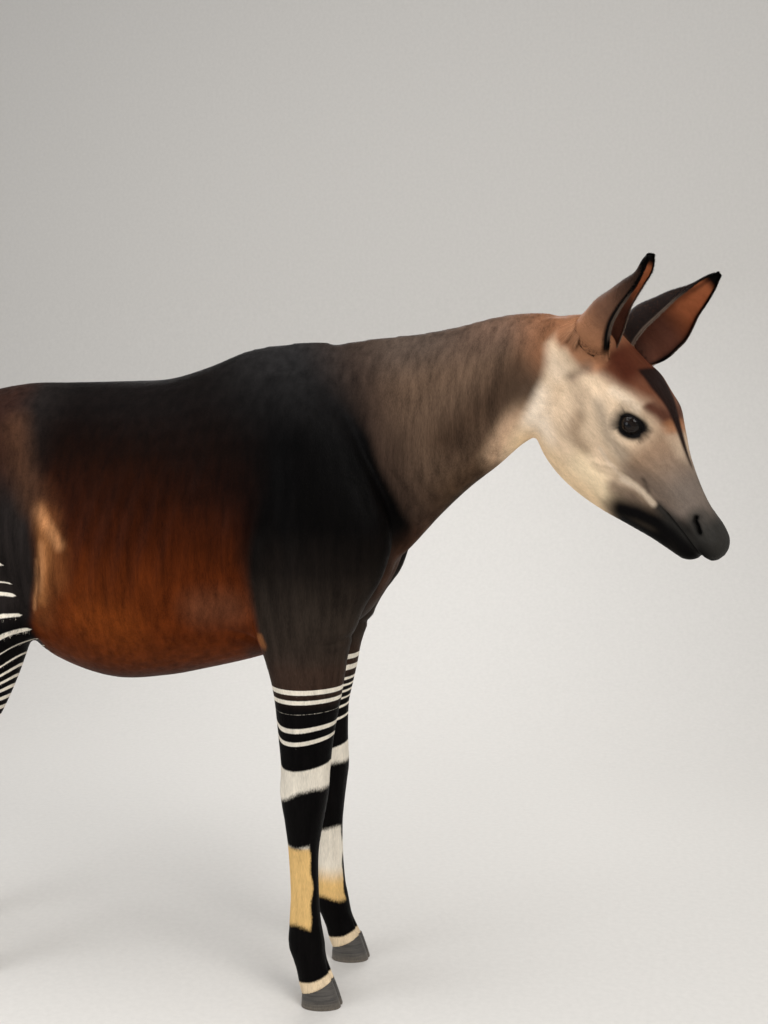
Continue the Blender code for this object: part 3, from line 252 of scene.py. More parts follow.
# Creases (height below zero) and ridges of the skin, drawn in the side plane as x, z points:
# half width and height. Both sides of the animal have them.
BODY_LINES = (
    (((0.245, 1.312), (0.275, 1.239), (0.306, 1.177), (0.324, 1.110), (0.312, 1.060)),
     0.010, -0.0045),
    (((0.205, 1.330), (0.250, 1.250), (0.282, 1.180), (0.298, 1.110)), 0.007, 0.0022),
    (((0.272, 1.262), (0.308, 1.201), (0.350, 1.127)), 0.006, -0.0020),
    (((0.300, 1.300), (0.335, 1.225), (0.380, 1.160)), 0.007, -0.0014),
    (((0.184, 1.238), (0.222, 1.201), (0.252, 1.142)), 0.007, -0.0016),
    (((0.160, 1.300), (0.200, 1.262), (0.232, 1.205)), 0.007, -0.0012),
    (((-0.017, 1.188), (-0.031, 1.063), (-0.034, 0.985), (-0.012, 0.906), (0.006, 0.845)),
     0.010, -0.0050),
    (((-0.060, 1.170), (-0.075, 1.050), (-0.066, 0.960)), 0.014, 0.0030),
    (((-0.518, 1.150), (-0.512, 1.060), (-0.508, 0.990), (-0.530, 0.925), (-0.560, 0.865)),
     0.013, 0.0050),
    (((-0.540, 1.130), (-0.536, 1.050), (-0.534, 0.990), (-0.556, 0.930)), 0.008, -0.0050),
    (((0.120, 0.862), (0.160, 0.858), (0.196, 0.872), (0.216, 0.900), (0.236, 0.925)),
     0.0055, -0.0042),
    (((0.150, 0.876), (0.186, 0.886), (0.206, 0.914)), 0.007, 0.0022),
    (((-0.107, 0.883), (-0.060, 0.865), (-0.014, 0.832)), 0.007, -0.0040),
    (((-0.173, 1.386), (-0.194, 1.310), (-0.200, 1.240)), 0.014, -0.0020),
)
HEAD_LINES = (
    (((0.328, -0.014), (0.334, 0.004), (0.340, 0.016), (0.362, 0.016), (0.392, 0.005),
      (0.425, -0.006)),
     0.0032, 0.0016),
    (((0.318, -0.016), (0.352, -0.010), (0.400, -0.014), (0.440, -0.020)), 0.0032, 0.0012),
    (((0.215, -0.112), (0.245, -0.098), (0.270, -0.078), (0.297, -0.064), (0.325, -0.056)),
     0.0050, 0.0026),
    (((0.222, -0.128), (0.256, -0.112), (0.286, -0.094), (0.318, -0.080)), 0.0060, -0.0018),
    (((0.216, -0.026), (0.236, -0.035), (0.262, -0.034), (0.286, -0.024)), 0.0030, -0.0014),
    (((0.222, -0.038), (0.246, -0.046), (0.272, -0.043)), 0.0030, -0.0011),
    (((0.066, -0.044), (0.075, -0.020), (0.082, 0.006), (0.090, 0.040)), 0.0080, -0.0040),
    (((0.006, -0.070), (0.014, -0.100), (0.028, -0.135), (0.046, -0.180), (0.060, -0.205)),
     0.0065, -0.0030),
    (((0.332, -0.042), (0.345, -0.050), (0.357, -0.055)), 0.0055, -0.0016),
)

# The tail hangs from the croup: its middle line, given by distance down it, and its radii.
TAIL_ROOT = Vector((-0.955, 0.0, 1.258))
TAIL_REACH = 0.112
TAIL_LENGTH = 0.42
TAIL_RADIUS = (0.029, 0.0125)
TUFT_START = 0.78
TUFT_LENGTH = 0.19

# Eyes, ears, nostrils and mouth, in the head's frame; sideways is out from the middle.
EYE_CENTRE = Vector((0.236, 0.0640, 0.018))
EYE_RADIUS = 0.0235
EYE_TILT = math.radians(24)
EYE_OPENING = (math.radians(60), math.radians(37), math.radians(34))
LID_POWER = 1.65
EYE_RING_CENTRE = (0.239, 0.017)
EYE_RING_HALF = (0.040, 0.0275)
EAR_BASE = {RIGHT: Vector((0.050, 0.053, 0.052)), LEFT: Vector((0.070, 0.058, 0.052))}
EAR_TIP = {RIGHT: Vector((0.043, 0.118, 0.290)), LEFT: Vector((0.096, 0.106, 0.296))}
EAR_TURN = {RIGHT: math.radians(14), LEFT: math.radians(44)}
EAR_WALL = 0.0036
EAR_EASE = 0.045
EAR_FLARE = 0.026
EAR_SINK = 0.0065
STUMP_HALF = {RIGHT: (0.036, 0.036), LEFT: (0.036, 0.044)}
STUMP_DEPTH = 0.044
NOSTRIL_LINE = ((0.461, -0.0140), (0.466, -0.0195), (0.476, -0.0215), (0.489, -0.0265))
MOUTH = (
    (0.333, -0.070), (0.370, -0.061), (0.416, -0.056), (0.470, -0.058), (0.515, -0.062),
    (0.560, -0.064),
)

# The ears along their length: share of it, half the width on the outer and on the inner side,
# depth, how far each of the two sides wraps round towards the opening in degrees, and how far
# the middle line is set towards the opening and inwards.
EAR_FORM = {
    RIGHT: (
        (-0.16, 0.032, 0.032, 0.044, 168, 170, 0.000, 0.000),
        (0.04, 0.038, 0.037, 0.050, 158, 166, -0.001, 0.000),
        (0.15, 0.046, 0.045, 0.050, 147, 150, -0.004, 0.000),
        (0.28, 0.051, 0.053, 0.045, 135, 128, -0.005, 0.000),
        (0.42, 0.050, 0.057, 0.039, 122, 112, -0.004, 0.000),
        (0.56, 0.043, 0.055, 0.032, 113, 102, 0.000, 0.001),
        (0.68, 0.033, 0.048, 0.025, 104, 97, 0.005, 0.001),
        (0.80, 0.023, 0.038, 0.019, 97, 94, 0.008, 0.000),
        (0.90, 0.019, 0.029, 0.016, 96, 91, 0.004, 0.000),
        (0.97, 0.016, 0.022, 0.012, 92, 88, 0.000, 0.002),
        (1.00, 0.007, 0.009, 0.006, 84, 84, -0.002, 0.004),
    ),
    LEFT: (
        (-0.16, 0.034, 0.034, 0.044, 165, 168, 0.000, 0.000),
        (0.04, 0.052, 0.044, 0.050, 140, 164, -0.001, 0.000),
        (0.15, 0.070, 0.056, 0.052, 112, 152, -0.004, 0.000),
        (0.28, 0.078, 0.061, 0.048, 102, 148, -0.006, 0.000),
        (0.42, 0.073, 0.057, 0.041, 98, 144, -0.006, 0.000),
        (0.56, 0.056, 0.047, 0.033, 96, 136, -0.004, 0.000),
        (0.68, 0.040, 0.036, 0.026, 94, 120, -0.002, 0.001),
        (0.80, 0.027, 0.025, 0.019, 92, 104, -0.001, 0.002),
        (0.90, 0.019, 0.018, 0.013, 90, 94, -0.002, 0.003),
        (0.97, 0.012, 0.012, 0.009, 88, 90, -0.004, 0.005),
        (1.00, 0.004, 0.004, 0.004, 84, 84, -0.005, 0.006),
    ),
}

# Hooves: the coronet that they meet the foot at, and the claws below it.
CORONET_FRONT, CORONET_BACK = 0.060, 0.028
CLEFT = 0.004
TOE = 0.025
TOE_SLOPE = 0.022
HEEL = 0.006
HEEL_SLOPE = 0.002
HOOF_WIDTH = 0.0405

# White stripes by height and half thickness, round each leg, from the top one down.
FORE_STRIPES = {
    RIGHT: ((0.770, -0.0006), (0.751, 0.0066), (0.726, 0.0050), (0.700, -0.0006), (0.662, 0.0058),
            (0.630, 0.0066)),
    LEFT: ((0.776, 0.0080), (0.746, 0.0070), (0.716, 0.0034), (0.700, 0.0030), (0.683, 0.0034),
           (0.664, 0.0026), (0.642, 0.0034), (0.612, 0.0040)),
}
HIND_STRIPES = (
    (1.118, 0.0030), (1.086, 0.0042), (1.050, 0.0046), (1.013, 0.0032), (0.970, 0.0016),
    (0.945, 0.0044), (0.894, 0.0044), (0.850, 0.0056), (0.818, 0.0010), (0.792, 0.0020),
    (0.772, 0.0030), (0.754, 0.0030), (0.736, 0.0038), (0.716, 0.0044), (0.694, 0.0048),
    (0.670, 0.0044), (0.646, 0.0060), (0.620, 0.0048),
)

# Colours of the coat. The trunk's go by height, from the back down to the belly; the darker last
# row is a thin dark line along the belly's edge together with painted shade under it.
TRUNK_SHADES = (
    (1.50, (0.0028, 0.0018, 0.0015)),
    (1.38, (0.0026, 0.0012, 0.0009)),
    (1.28, (0.0062, 0.0018, 0.0007)),
    (1.18, (0.0170, 0.0036, 0.0009)),
    (1.08, (0.0360, 0.0070, 0.0014)),
    (0.98, (0.0720, 0.0140, 0.0025)),
    (0.88, (0.0900, 0.0170, 0.0028)),
    (0.80, (0.0920, 0.0200, 0.0036)),
    (0.74, (0.0360, 0.0090, 0.0024)),
)
# The shoulder's near-black by height; the lighter grey at the withers and on the lower shoulder is
# partly painted sheen.
SHOULDER_SHADES_AND_SHEEN = (
    (1.52, (0.0130, 0.0120, 0.0120)),
    (1.42, (0.0060, 0.0054, 0.0054)),
    (1.30, (0.0012, 0.0010, 0.0010)),
    (1.12, (0.0014, 0.0011, 0.0010)),
    (1.02, (0.0065, 0.0048, 0.0038)),
    (0.92, (0.0220, 0.0160, 0.0120)),
    (0.82, (0.0260, 0.0180, 0.0135)),
)
# Painted shadow where the foot of the neck meets the shoulders and chest.
NECK_JOIN_SHADOW = (0.0020, 0.0016, 0.0016)
RUST = (0.105, 0.022, 0.0035)
ORANGE = (0.185, 0.042, 0.0065)
# The flank's fold: painted highlight on the fold in broad, middle and bright bands, and painted
# shadow in its crease.
FLANK_HIGHLIGHT_BROAD = (0.150, 0.050, 0.015)
FLANK_HIGHLIGHT_MID = (0.250, 0.100, 0.034)
FLANK_HIGHLIGHT_BRIGHT = (0.420, 0.190, 0.078)
FLANK_HIGHLIGHT_TOP = (0.060, 0.020, 0.008)
FLANK_HIGHLIGHT_LOW = (0.120, 0.036, 0.010)
FLANK_FOLD_SHADOW = (0.050, 0.018, 0.007)
GIRTH = (0.105, 0.038, 0.018)
BACK_DARK = (0.0030, 0.0016, 0.0013)
ELBOW = (0.260, 0.100, 0.035)
# Painted highlight down the front edge of the hip.
HIP_HIGHLIGHT = (0.060, 0.026, 0.013)
HAUNCH = (0.0130, 0.0100, 0.0090)
HAUNCH_RED = (0.0240, 0.0085, 0.0050)
TAUPE = (0.092, 0.057, 0.037)
NECK_SIDE = (0.064, 0.044, 0.033)
NECK_TOP = (0.118, 0.068, 0.045)
NECK_LOW = (0.054, 0.030, 0.016)
NECK_REAR = (0.038, 0.023, 0.016)
NECK_BAND = (0.044, 0.025, 0.015)
CHEST = (0.070, 0.028, 0.013)
BEHIND_EAR = (0.225, 0.098, 0.048)
THROAT = (0.520, 0.345, 0.220)
CHEEK = (0.640, 0.480, 0.330)
CHEEK_GREY = (0.400, 0.310, 0.225)
# Painted shadow in the cheek's hollow: a darker band and a broader, softer darkening round it.
CHEEK_SHADOW = (0.280, 0.195, 0.125)
CHEEK_SOFT_SHADOW = (0.420, 0.305, 0.210)
# The rear of the jaw: its own pale colour, lightened further by a painted highlight where light
# falls on it.
JAW_PALE_AND_LIT = (0.860, 0.720, 0.570)
JAW_SAND = (0.660, 0.520, 0.340)
# Painted shadow behind the rear edge of the jaw.
JAW_EDGE_SHADOW = (0.300, 0.195, 0.130)
# Painted shadow in the notch below the ear's base.
EAR_NOTCH_SHADOW = (0.200, 0.135, 0.095)
PEACH = (0.820, 0.600, 0.370)
CREAM = (0.680, 0.540, 0.400)
CHESTNUT = (0.062, 0.016, 0.008)
BROW_BROWN = (0.070, 0.024, 0.014)
# Painted highlight at the end of the brow.
BROW_HIGHLIGHT = (0.300, 0.130, 0.060)
FOREHEAD = (0.125, 0.045, 0.023)
DIAMOND = (0.013, 0.0065, 0.0052)
FACE_FRONT = (0.310, 0.200, 0.128)
MUZZLE = (0.150, 0.118, 0.096)
MUZZLE_DARK = (0.028, 0.026, 0.023)
NOSE_SIDE = (0.170, 0.125, 0.095)
LIP_BROWN = (0.150, 0.100, 0.070)
# Painted shade inside the nostrils, which are only shallow dents in the skin.
NOSTRIL_SHADOW = (0.0020, 0.0020, 0.0020)
BLACK = (0.0026, 0.0022, 0.0022)
LID = (0.0060, 0.0052, 0.0052)
EAR_BACK = (0.122, 0.060, 0.037)
EAR_FOOT = (0.400, 0.185, 0.095)
EAR_DARK = (0.013, 0.009, 0.008)
EAR_INNER = (0.115, 0.044, 0.028)
EAR_RED = (0.400, 0.125, 0.052)
# Pale rims of the ears: pale rim hair with painted light along the lit margins.
EAR_RIM_PALE_AND_LIT = (0.480, 0.350, 0.270)
LEG_WHITE = (0.700, 0.640, 0.540)
LEG_CREAM = (0.650, 0.420, 0.165)
FOREARM = (0.0320, 0.0200, 0.0145)
PUPIL = (0.002, 0.002, 0.003)
IRIS = ((0.005, 0.003, 0.0025), (0.014, 0.008, 0.005))
EYE_WHITE = (0.009, 0.007, 0.006)
HORN = ((0.030, 0.027, 0.025), (0.085, 0.076, 0.066))
DUST = (0.26, 0.21, 0.15)
FLOOR = (0.62, 0.60, 0.57)

# Half the width of the dark patch on the forehead, by how far down the face.
DIAMOND_WIDTH = (
    (0.148, 0.034), (0.165, 0.040), (0.200, 0.037), (0.230, 0.028), (0.260, 0.018), (0.290, 0.012),
    (0.330, 0.008), (0.365, 0.003), (0.390, -0.010),
)


def smooth(value, low, high):
    """0 below low, 1 above high, and an easy curve between them."""
    t = np.clip((value - low) / (high - low), 0.0, 1.0)
    return t * t * (3 - 2 * t)


def spline(rows, count):
    """Catmull-Rom curves through the rows, read at count even steps of the chord length."""
    rows = np.asarray(rows, float)
    steps = np.linalg.norm(np.diff(rows[:, :4], axis=0), axis=1)
    knots = np.concatenate([[0.0], np.cumsum(steps)])
    slopes = np.empty_like(rows)
    slopes[1:-1] = (rows[2:] - rows[:-2]) / (knots[2:] - knots[:-2])[:, None]
    slopes[0] = (rows[1] - rows[0]) / steps[0]
    slopes[-1] = (rows[-1] - rows[-2]) / steps[-1]
    at = np.linspace(0.0, knots[-1], count)
    i = np.clip(np.searchsorted(knots, at, side="right") - 1, 0, len(rows) - 2)
    h = (knots[i + 1] - knots[i])[:, None]
    t = (at - knots[i])[:, None] / h
    return (
        (2 * t**3 - 3 * t**2 + 1) * rows[i]
        + (t**3 - 2 * t**2 + t) * h * slopes[i]
        + (-2 * t**3 + 3 * t**2) * rows[i + 1]
        + (t**3 - t**2) * h * slopes[i + 1]
    )


def ring(row, sides):
    """One closed ring of a loft. The row is a station's numbers."""
    s = Station(*row)
    a, b = np.array((s.ax, s.az)), np.array((s.bx, s.bz))
    middle = b + (a - b) * s.widest
    angles = np.linspace(0, 2 * math.pi, sides, endpoint=False)
    cos, sin = np.cos(angles), np.sin(angles)
    power = np.where(sin >= 0, s.apower, s.bpower)
    across = np.sign(cos) * np.abs(cos) ** (2 / power) * s.width
    along = np.abs(sin) ** (2 / power)
    edge = np.where(sin[:, None] >= 0, a - middle, b - middle)
    plane = middle + edge * along[:, None]
    return np.column_stack([plane[:, 0], s.side + across, plane[:, 1]])


def grid_mesh(rings):
    """Vertices and faces of a closed tube through the rings, its ends closed to a point."""
    count, sides = len(rings), len(rings[0])
    points = [p for r in rings for p in r]
    points += [np.mean(rings[0], axis=0), np.mean(rings[-1], axis=0)]
    first, last = count * sides, count * sides + 1
    faces = []
    for i in range(count - 1):
        for j in range(sides):
            k = (j + 1) % sides
            faces.append((i * sides + j, i * sides + k, (i + 1) * sides + k, (i + 1) * sides + j))
    for j in range(sides):
        k = (j + 1) % sides
        faces.append((first, k, j))
        faces.append((last, (count - 1) * sides + j, (count - 1) * sides + k))
    return points, faces


def mesh_object(name, points, faces):
    """A new object of that mesh, with its faces turned outwards."""
    mesh = bpy.data.meshes.new(name)
    mesh.from_pydata([tuple(p) for p in points], [], faces)
    bm = bmesh.new()
    bm.from_mesh(mesh)
    bmesh.ops.recalc_face_normals(bm, faces=bm.faces)
    bm.to_mesh(mesh)
    bm.free()
    return linked(name, mesh)


def linked(name, mesh):
    obj = bpy.data.objects.new(name, mesh)
    bpy.context.scene.collection.objects.link(obj)
    return obj


def loft(name, stations, rings=40, sides=36, shape=None):
    """A closed body through the stations; shape moves its points where it is given."""
    points, faces = grid_mesh([ring(row, sides) for row in spline(stations, rings)])
    points = np.array(points)
    if shape:
        points = shape(points)
    return mesh_object(name, points, faces)


def ball(centre, radii, turn=0.0):
    """A muscle or bone as an ellipsoid, turned about the sideways axis."""
    bm = bmesh.new()
    bmesh.ops.create_icosphere(bm, subdivisions=4, radius=1.0)
    obj = mesh_object("muscle", [], [])
    bm.to_mesh(obj.data)
    bm.free()
    turned = Matrix.Translation(centre) @ Matrix.Rotation(turn, 4, "Y")
    obj.data.transform(turned @ Matrix.Diagonal((*radii, 1.0)))
    return obj


def applied(obj):
    """The object with its modifiers made part of its mesh."""
    graph = bpy.context.evaluated_depsgraph_get()
    mesh = bpy.data.meshes.new_from_object(obj.evaluated_get(graph))
    obj.modifiers.clear()
    old = obj.data
    obj.data = mesh
    bpy.data.meshes.remove(old)
    return obj


def joined(name, objects):
    """One object that holds the shells of all."""
    bm = bmesh.new()
    for obj in objects:
        bm.from_mesh(obj.data)
    mesh = bpy.data.meshes.new(name)
    bm.to_mesh(mesh)
    bm.free()
    for obj in objects:
        bpy.data.objects.remove(obj)
    return linked(name, mesh)


def remeshed(obj, voxel):
    modifier = obj.modifiers.new("blend", "REMESH")
    modifier.mode = "VOXEL"
    modifier.voxel_size = voxel
    return applied(obj)


def read(collection, key, width, kind=float):
    values = np.empty(len(collection) * width, kind)
    collection.foreach_get(key, values)
    return values.reshape(-1, width) if width > 1 else values


def points_of(obj):
    return read(obj.data.vertices, "co", 3)


def set_points(obj, points):
    obj.data.vertices.foreach_set("co", np.asarray(points, float).ravel())
    obj.data.update()


def normals_of(obj):
    return read(obj.data.vertex_normals, "vector", 3)


def relaxed(obj, rounds, amount=None):
    """Smooths the surface without shrinking it, by a push in and a smaller push back out."""
    points, edges = points_of(obj), read(obj.data.edges, "vertices", 2, np.int64)
    ends = np.concatenate([edges[:, 0], edges[:, 1]])
    others = np.concatenate([edges[:, 1], edges[:, 0]])
    degree = np.bincount(ends, minlength=len(points))[:, None]
    weight = 1.0 if amount is None else amount[:, None]
    for _ in range(rounds):
        for factor in (0.6, -0.62):
            mean = np.column_stack([
                np.bincount(ends, points[others, k], len(points)) for k in range(3)
            ]) / degree
            points = points + factor * weight * (mean - points)
    set_points(obj, points)
    return obj


def refined(obj, chosen, rounds=5):
    """Halves the mesh where chosen says so, and smooths what that adds."""
    flags = chosen(points_of(obj))
    bm = bmesh.new()
    bm.from_mesh(obj.data)
    edges = [e for e in bm.edges if flags[e.verts[0].index] and flags[e.verts[1].index]]
    bmesh.ops.subdivide_edges(bm, edges=edges, cuts=1, use_grid_fill=True)
    bm.to_mesh(obj.data)
    bm.free()
    return relaxed(obj, rounds, chosen(points_of(obj)).astype(float))


def offsets(setting, height):
    """How far forward and outward a leg is set at a height."""
    table = np.array(setting)[::-1]
    return np.interp(height, table[:, 0], table[:, 1]), np.interp(height, table[:, 0], table[:, 2])


def leg(side, fore):
    def shape(points):
        forward, outward = offsets(LEG_SET[fore][side], points[:, 2])
        moved = (points[:, 0] + forward, (points[:, 1] + outward) * side, points[:, 2])
        return np.column_stack(moved)

    return loft("leg", LEG_OUTLINE[fore], rings=64, sides=28, shape=shape)


def at_leg(points, side, fore):
    """Which points lie in the quarter of the body that has this leg."""
    return (points[:, 1] * side > 0) & ((points[:, 0] > MIDRIFF) == fore)


def head_frame():
    """The matrix from the head's frame to the animal's."""
    roll = Matrix.Rotation(HEAD_ROLL, 4, "X")
    pitch = Matrix.Rotation(HEAD_PITCH, 4, "Y")
    turn = Matrix.Rotation(HEAD_TURN, 4, "Z")
    return Matrix.Translation(HEAD_ORIGIN) @ turn @ pitch @ roll


def to_head(points):
    inverse = np.array(head_frame().inverted())
    return points @ inverse[:3, :3].T + inverse[:3, 3]


def from_head(points):
    matrix = np.array(head_frame())
    return np.asarray(points) @ matrix[:3, :3].T + matrix[:3, 3]


def turned_from_head(ways):
    return np.asarray(ways) @ np.array(head_frame())[:3, :3].T


def in_head(obj):
    obj.data.transform(head_frame())
    return obj


def muscle(side, middle, radii, turn=0):
    return ball(Vector(middle) * Vector((1, side, 1)), radii, math.radians(turn))


def set_with_leg(side, middle, radii, turn):
    """A muscle's place once the leg that it lies on is set forward or back."""
    forward, outward = offsets(LEG_SET[middle[0] > MIDRIFF][side], middle[2])
    return (middle[0] + forward, middle[1] + outward, middle[2]), radii, turn


def tail_point(share):
    """The middle line of the tail: it leaves the croup backwards and hangs down."""
    out = TAIL_REACH * math.sin(min(max(share, -0.3) * 2.4, math.pi / 2))
    drop = TAIL_LENGTH * (max(share, 0.0) ** 1.25 + 0.35 * min(share, 0.0))
    return TAIL_ROOT + Vector((-out - 0.010 * share, -0.006 * math.sin(share * 3.0), -drop))


def tail_rings(start, end, count, sides, radius):
    """Rings across the tail's line, from one share of its length to another."""
    rings = []
    for i in range(count):
        share = start + (end - start) * i / (count - 1)
        centre = tail_point(share)
        ahead = (tail_point(share + 0.01) - tail_point(share - 0.01)).normalized()
        up = ahead.cross(Vector((0, 1, 0))).normalized()
        side = up.cross(ahead)
        r = radius(share)
        rings.append([
            np.array(centre + side * (r * math.cos(a)) + up * (r * math.sin(a)))
            for a in (2 * math.pi * j / sides for j in range(sides))
        ])
    return rings


def tail_radius(share):
    root, end = TAIL_RADIUS
    return end + (root - end) * math.exp(-3.2 * max(share, 0.0))


def ear_axes(side):
    """Root, unit axis, direction of the opening, inward direction and length of an ear."""
    flip = Vector((1, side, 1))
    base, tip = EAR_BASE[side] * flip, EAR_TIP[side] * flip
    axis = (tip - base).normalized()
    forward = Vector((1, 0, 0))
    opening = (forward - axis * forward.dot(axis)).normalized()
    opening.rotate(Matrix.Rotation(-EAR_TURN[side] * side, 3, axis))
    inward = axis.cross(opening)
    if inward.y * side > 0:
        inward = -inward
    return (*(np.array(v) for v in (base, axis, opening, inward)), (tip - base).length)


def ear_section(side, share, turns):
    """Middle of an ear at a share of its length, and its wall's places at turns from -1 to 1."""
    table = np.array(EAR_FORM[side])
    nearby = share + EAR_EASE * np.linspace(-1, 1, 9)
    outer, inner, deep, wrap_out, wrap_in, fore, aside = (
        np.interp(nearby, table[:, 0], table[:, k]).mean() for k in range(1, 8)
    )
    base, axis, opening, inward, length = ear_axes(side)
    centre = base + axis * (length * share) + opening * fore + inward * aside
    angle = np.radians(np.where(turns > 0, wrap_in, wrap_out)) * turns
    wide = np.where(turns > 0, inner, outer)
    out = inward * (np.sin(angle) * wide)[:, None] - opening * (np.cos(angle) * deep)[:, None]
    return centre, out


def ear_root(side):
    """The gristle that carries the ear: a short stump out of the skull."""
    base, axis, opening, inward, length = ear_axes(side)
    angles = 2 * math.pi * np.arange(24) / 24
    wide = np.where(np.cos(angles) > 0, *STUMP_HALF[side]) * np.cos(angles)
    rings = []
    for i in range(8):
        centre = base + axis * (length * (-0.16 + 0.19 * i / 7))
        rings.append(centre + inward * wide[:, None]
                     + opening * (STUMP_DEPTH * np.sin(angles))[:, None])
    points, faces = grid_mesh(rings)
    return in_head(mesh_object("ear_root", points, faces))


def folded(points):
    """The points with both sides laid on one, so that y is the distance from the middle line."""
    return np.column_stack([points[:, 0], np.abs(points[:, 1]), points[:, 2]])


def raised(obj, points, forms):
    """Raises or sinks the surface along its normals; points are its places in the forms' frame."""
    height = np.zeros(len(points))
    for centre, reach, rise in forms:
        away = folded(points) - centre
        height += rise * np.exp(-0.5 * ((away / reach) ** 2).sum(axis=1))
    set_points(obj, points_of(obj) + normals_of(obj) * height[:, None])


def line_distance(flat, line):
    """Distance in a plane from each point to a broken line, and the share along it."""
    line = np.asarray(line, float)
    steps = np.linalg.norm(np.diff(line, axis=0), axis=1)
    total = steps.sum()
    best = np.full(len(flat), np.inf)
    share = np.zeros(len(flat))
    walked = 0.0
    for a, b, step in zip(line, line[1:], steps):
        t = np.clip(((flat - a) @ (b - a)) / step**2, 0, 1)
        away = np.linalg.norm(flat - (a + t[:, None] * (b - a)), axis=1)
        nearer = away < best
        best = np.where(nearer, away, best)
        share = np.where(nearer, (walked + t * step) / total, share)
        walked += step
    return best, share


def line_height(points, lines, least_side):
    """Height of the creases and ridges at each point, faded out towards their ends."""
    height = np.zeros(len(points))
    flat = points[:, [0, 2]]
    beside = smooth(np.abs(points[:, 1]), least_side, least_side + 0.02)
    for line, width, rise in lines:
        away, share = line_distance(flat, line)
        fade = smooth(share, 0.0, 0.25) * (1 - smooth(share, 0.75, 1.0))
        height += rise * np.exp(-((away / width) ** 2)) * fade * beside
    return height


def head_mask(points):
    """1 on the head and 0 behind its joint with the neck."""
    head = to_head(points)
    return smooth(head[:, 0], -0.05, 0.01) * smooth(points[:, 0], 0.50, 0.60)


def leg_mask(points):
    return 1 - smooth(points[:, 2], 0.10, 0.75)


def near_tail(points):
    return (points[:, 0] < -0.985) & (points[:, 2] > 0.78) & (np.abs(points[:, 1]) < 0.045)


def eye_centre(side):
    return np.array(EYE_CENTRE * Vector((1, side, 1)))


def along_eye(away):
    """Distances along and across the eye's long axis, from those along the face and above it."""
    cos, sin = math.cos(EYE_TILT), math.sin(EYE_TILT)
    return away[:, 0] * cos + away[:, 1] * sin, -away[:, 0] * sin + away[:, 1] * cos


def eye_space(head_points, side):
    """Place of points about an eye: distance from its centre, the opening's measure, and angles."""
    away = head_points - eye_centre(side)
    x, z = along_eye(away[:, [0, 2]])
    y = away[:, 1] * side
    distance = np.linalg.norm(away, axis=1)
    up = np.arcsin(np.clip(z / np.maximum(distance, 1e-9), -1, 1))
    sweep = np.arctan2(x, y)
    high = np.where(up > 0, EYE_OPENING[1], EYE_OPENING[2])
    measure = np.abs(sweep / EYE_OPENING[0]) ** LID_POWER + np.abs(up / high) ** LID_POWER
    return distance, measure ** (1 / LID_POWER), up, away


def skin_surface():
    """Trunk, neck, head, legs and tail as one smooth surface."""
    pieces = [loft("trunk", TRUNK, rings=60, sides=48), loft("neck", NECK, rings=30, sides=40)]
    pieces.append(in_head(loft("skull", SKULL, rings=48, sides=48)))
    pieces.append(in_head(loft("jaw", JAW, rings=40, sides=40)))
    for side in SIDES:
        pieces += [leg(side, True), leg(side, False)]
        pieces += [muscle(side, *set_with_leg(side, *row)) for row in MUSCLES]
        pieces.append(muscle(side, *FLANK_FOLD))
        pieces += [ear_root(side), in_head(muscle(side, *PAROTID))]
    points, faces = grid_mesh(tail_rings(-0.20, TUFT_START + 0.05, 40, 20, tail_radius))
    pieces.append(mesh_object("tail", points, faces))
    skin = remeshed(joined("okapi_skin", pieces), VOXEL)

    points = points_of(skin)
    relaxed(skin, 8)
    body = (1 - head_mask(points)) * (1 - 0.75 * leg_mask(points))
    body *= np.where(near_tail(points), 0.1, 1.0)
    relaxed(skin, 40, body)
    raised(skin, points_of(skin), BODY_FORMS)
    relaxed(skin, 8, body)
    on_head = head_mask(points_of(skin)) > 0.5
    saved = points_of(skin)
    raised(skin, to_head(saved), HEAD_FORMS)
    set_points(skin, np.where(on_head[:, None], points_of(skin), saved))
    return skin


def around_face(reach):
    """Chooses points close to the eyes, nostrils and mouth."""
    def chosen(points):
        head = to_head(points)
        hit = np.linalg.norm(folded(head) - EYE_CENTRE, axis=1) < 0.036 + reach
        mouth, _ = line_distance(head[:, [0, 2]], MOUTH)
        hit |= (mouth < 0.004 + reach) & (head[:, 0] > 0.31)
        nose, _ = line_distance(head[:, [0, 2]], NOSTRIL_LINE)
        hit |= (nose < 0.008 + reach) & (head[:, 0] > 0.42)
        return hit

    return chosen


def near_eyes(points):
    return np.linalg.norm(folded(to_head(points)) - EYE_CENTRE, axis=1) < 0.034


def lidded(points):
    """Wraps the skin round each eyeball: an opening, the lids' edges, and their folds."""
    head = to_head(points)
    for side in SIDES:
        distance, measure, up, away = eye_space(head, side)
        profile = np.interp(
            measure,
            (0.00, 0.90, 0.98, 1.06, 1.20, 1.36, 1.52, 1.75, 2.2),
            (0.78, 0.80, 1.01, 1.085, 1.125, 1.10, 1.055, 1.12, 1.22),
        )
        upper = smooth(up, -0.1, 0.3)
        profile = profile + 0.035 * upper * np.exp(-(((measure - 1.25) / 0.16) ** 2))
        blend = (1 - smooth(measure, 1.45, 2.15)) * smooth(away[:, 1] * side, -0.004, 0.006)
        target = away / np.maximum(distance, 1e-9)[:, None] * (profile * EYE_RADIUS)[:, None]
        moved = head - away + target
        close = (distance < 0.050)[:, None]
        head = np.where(close, head + blend[:, None] * (moved - head), head)
    return from_head(head)


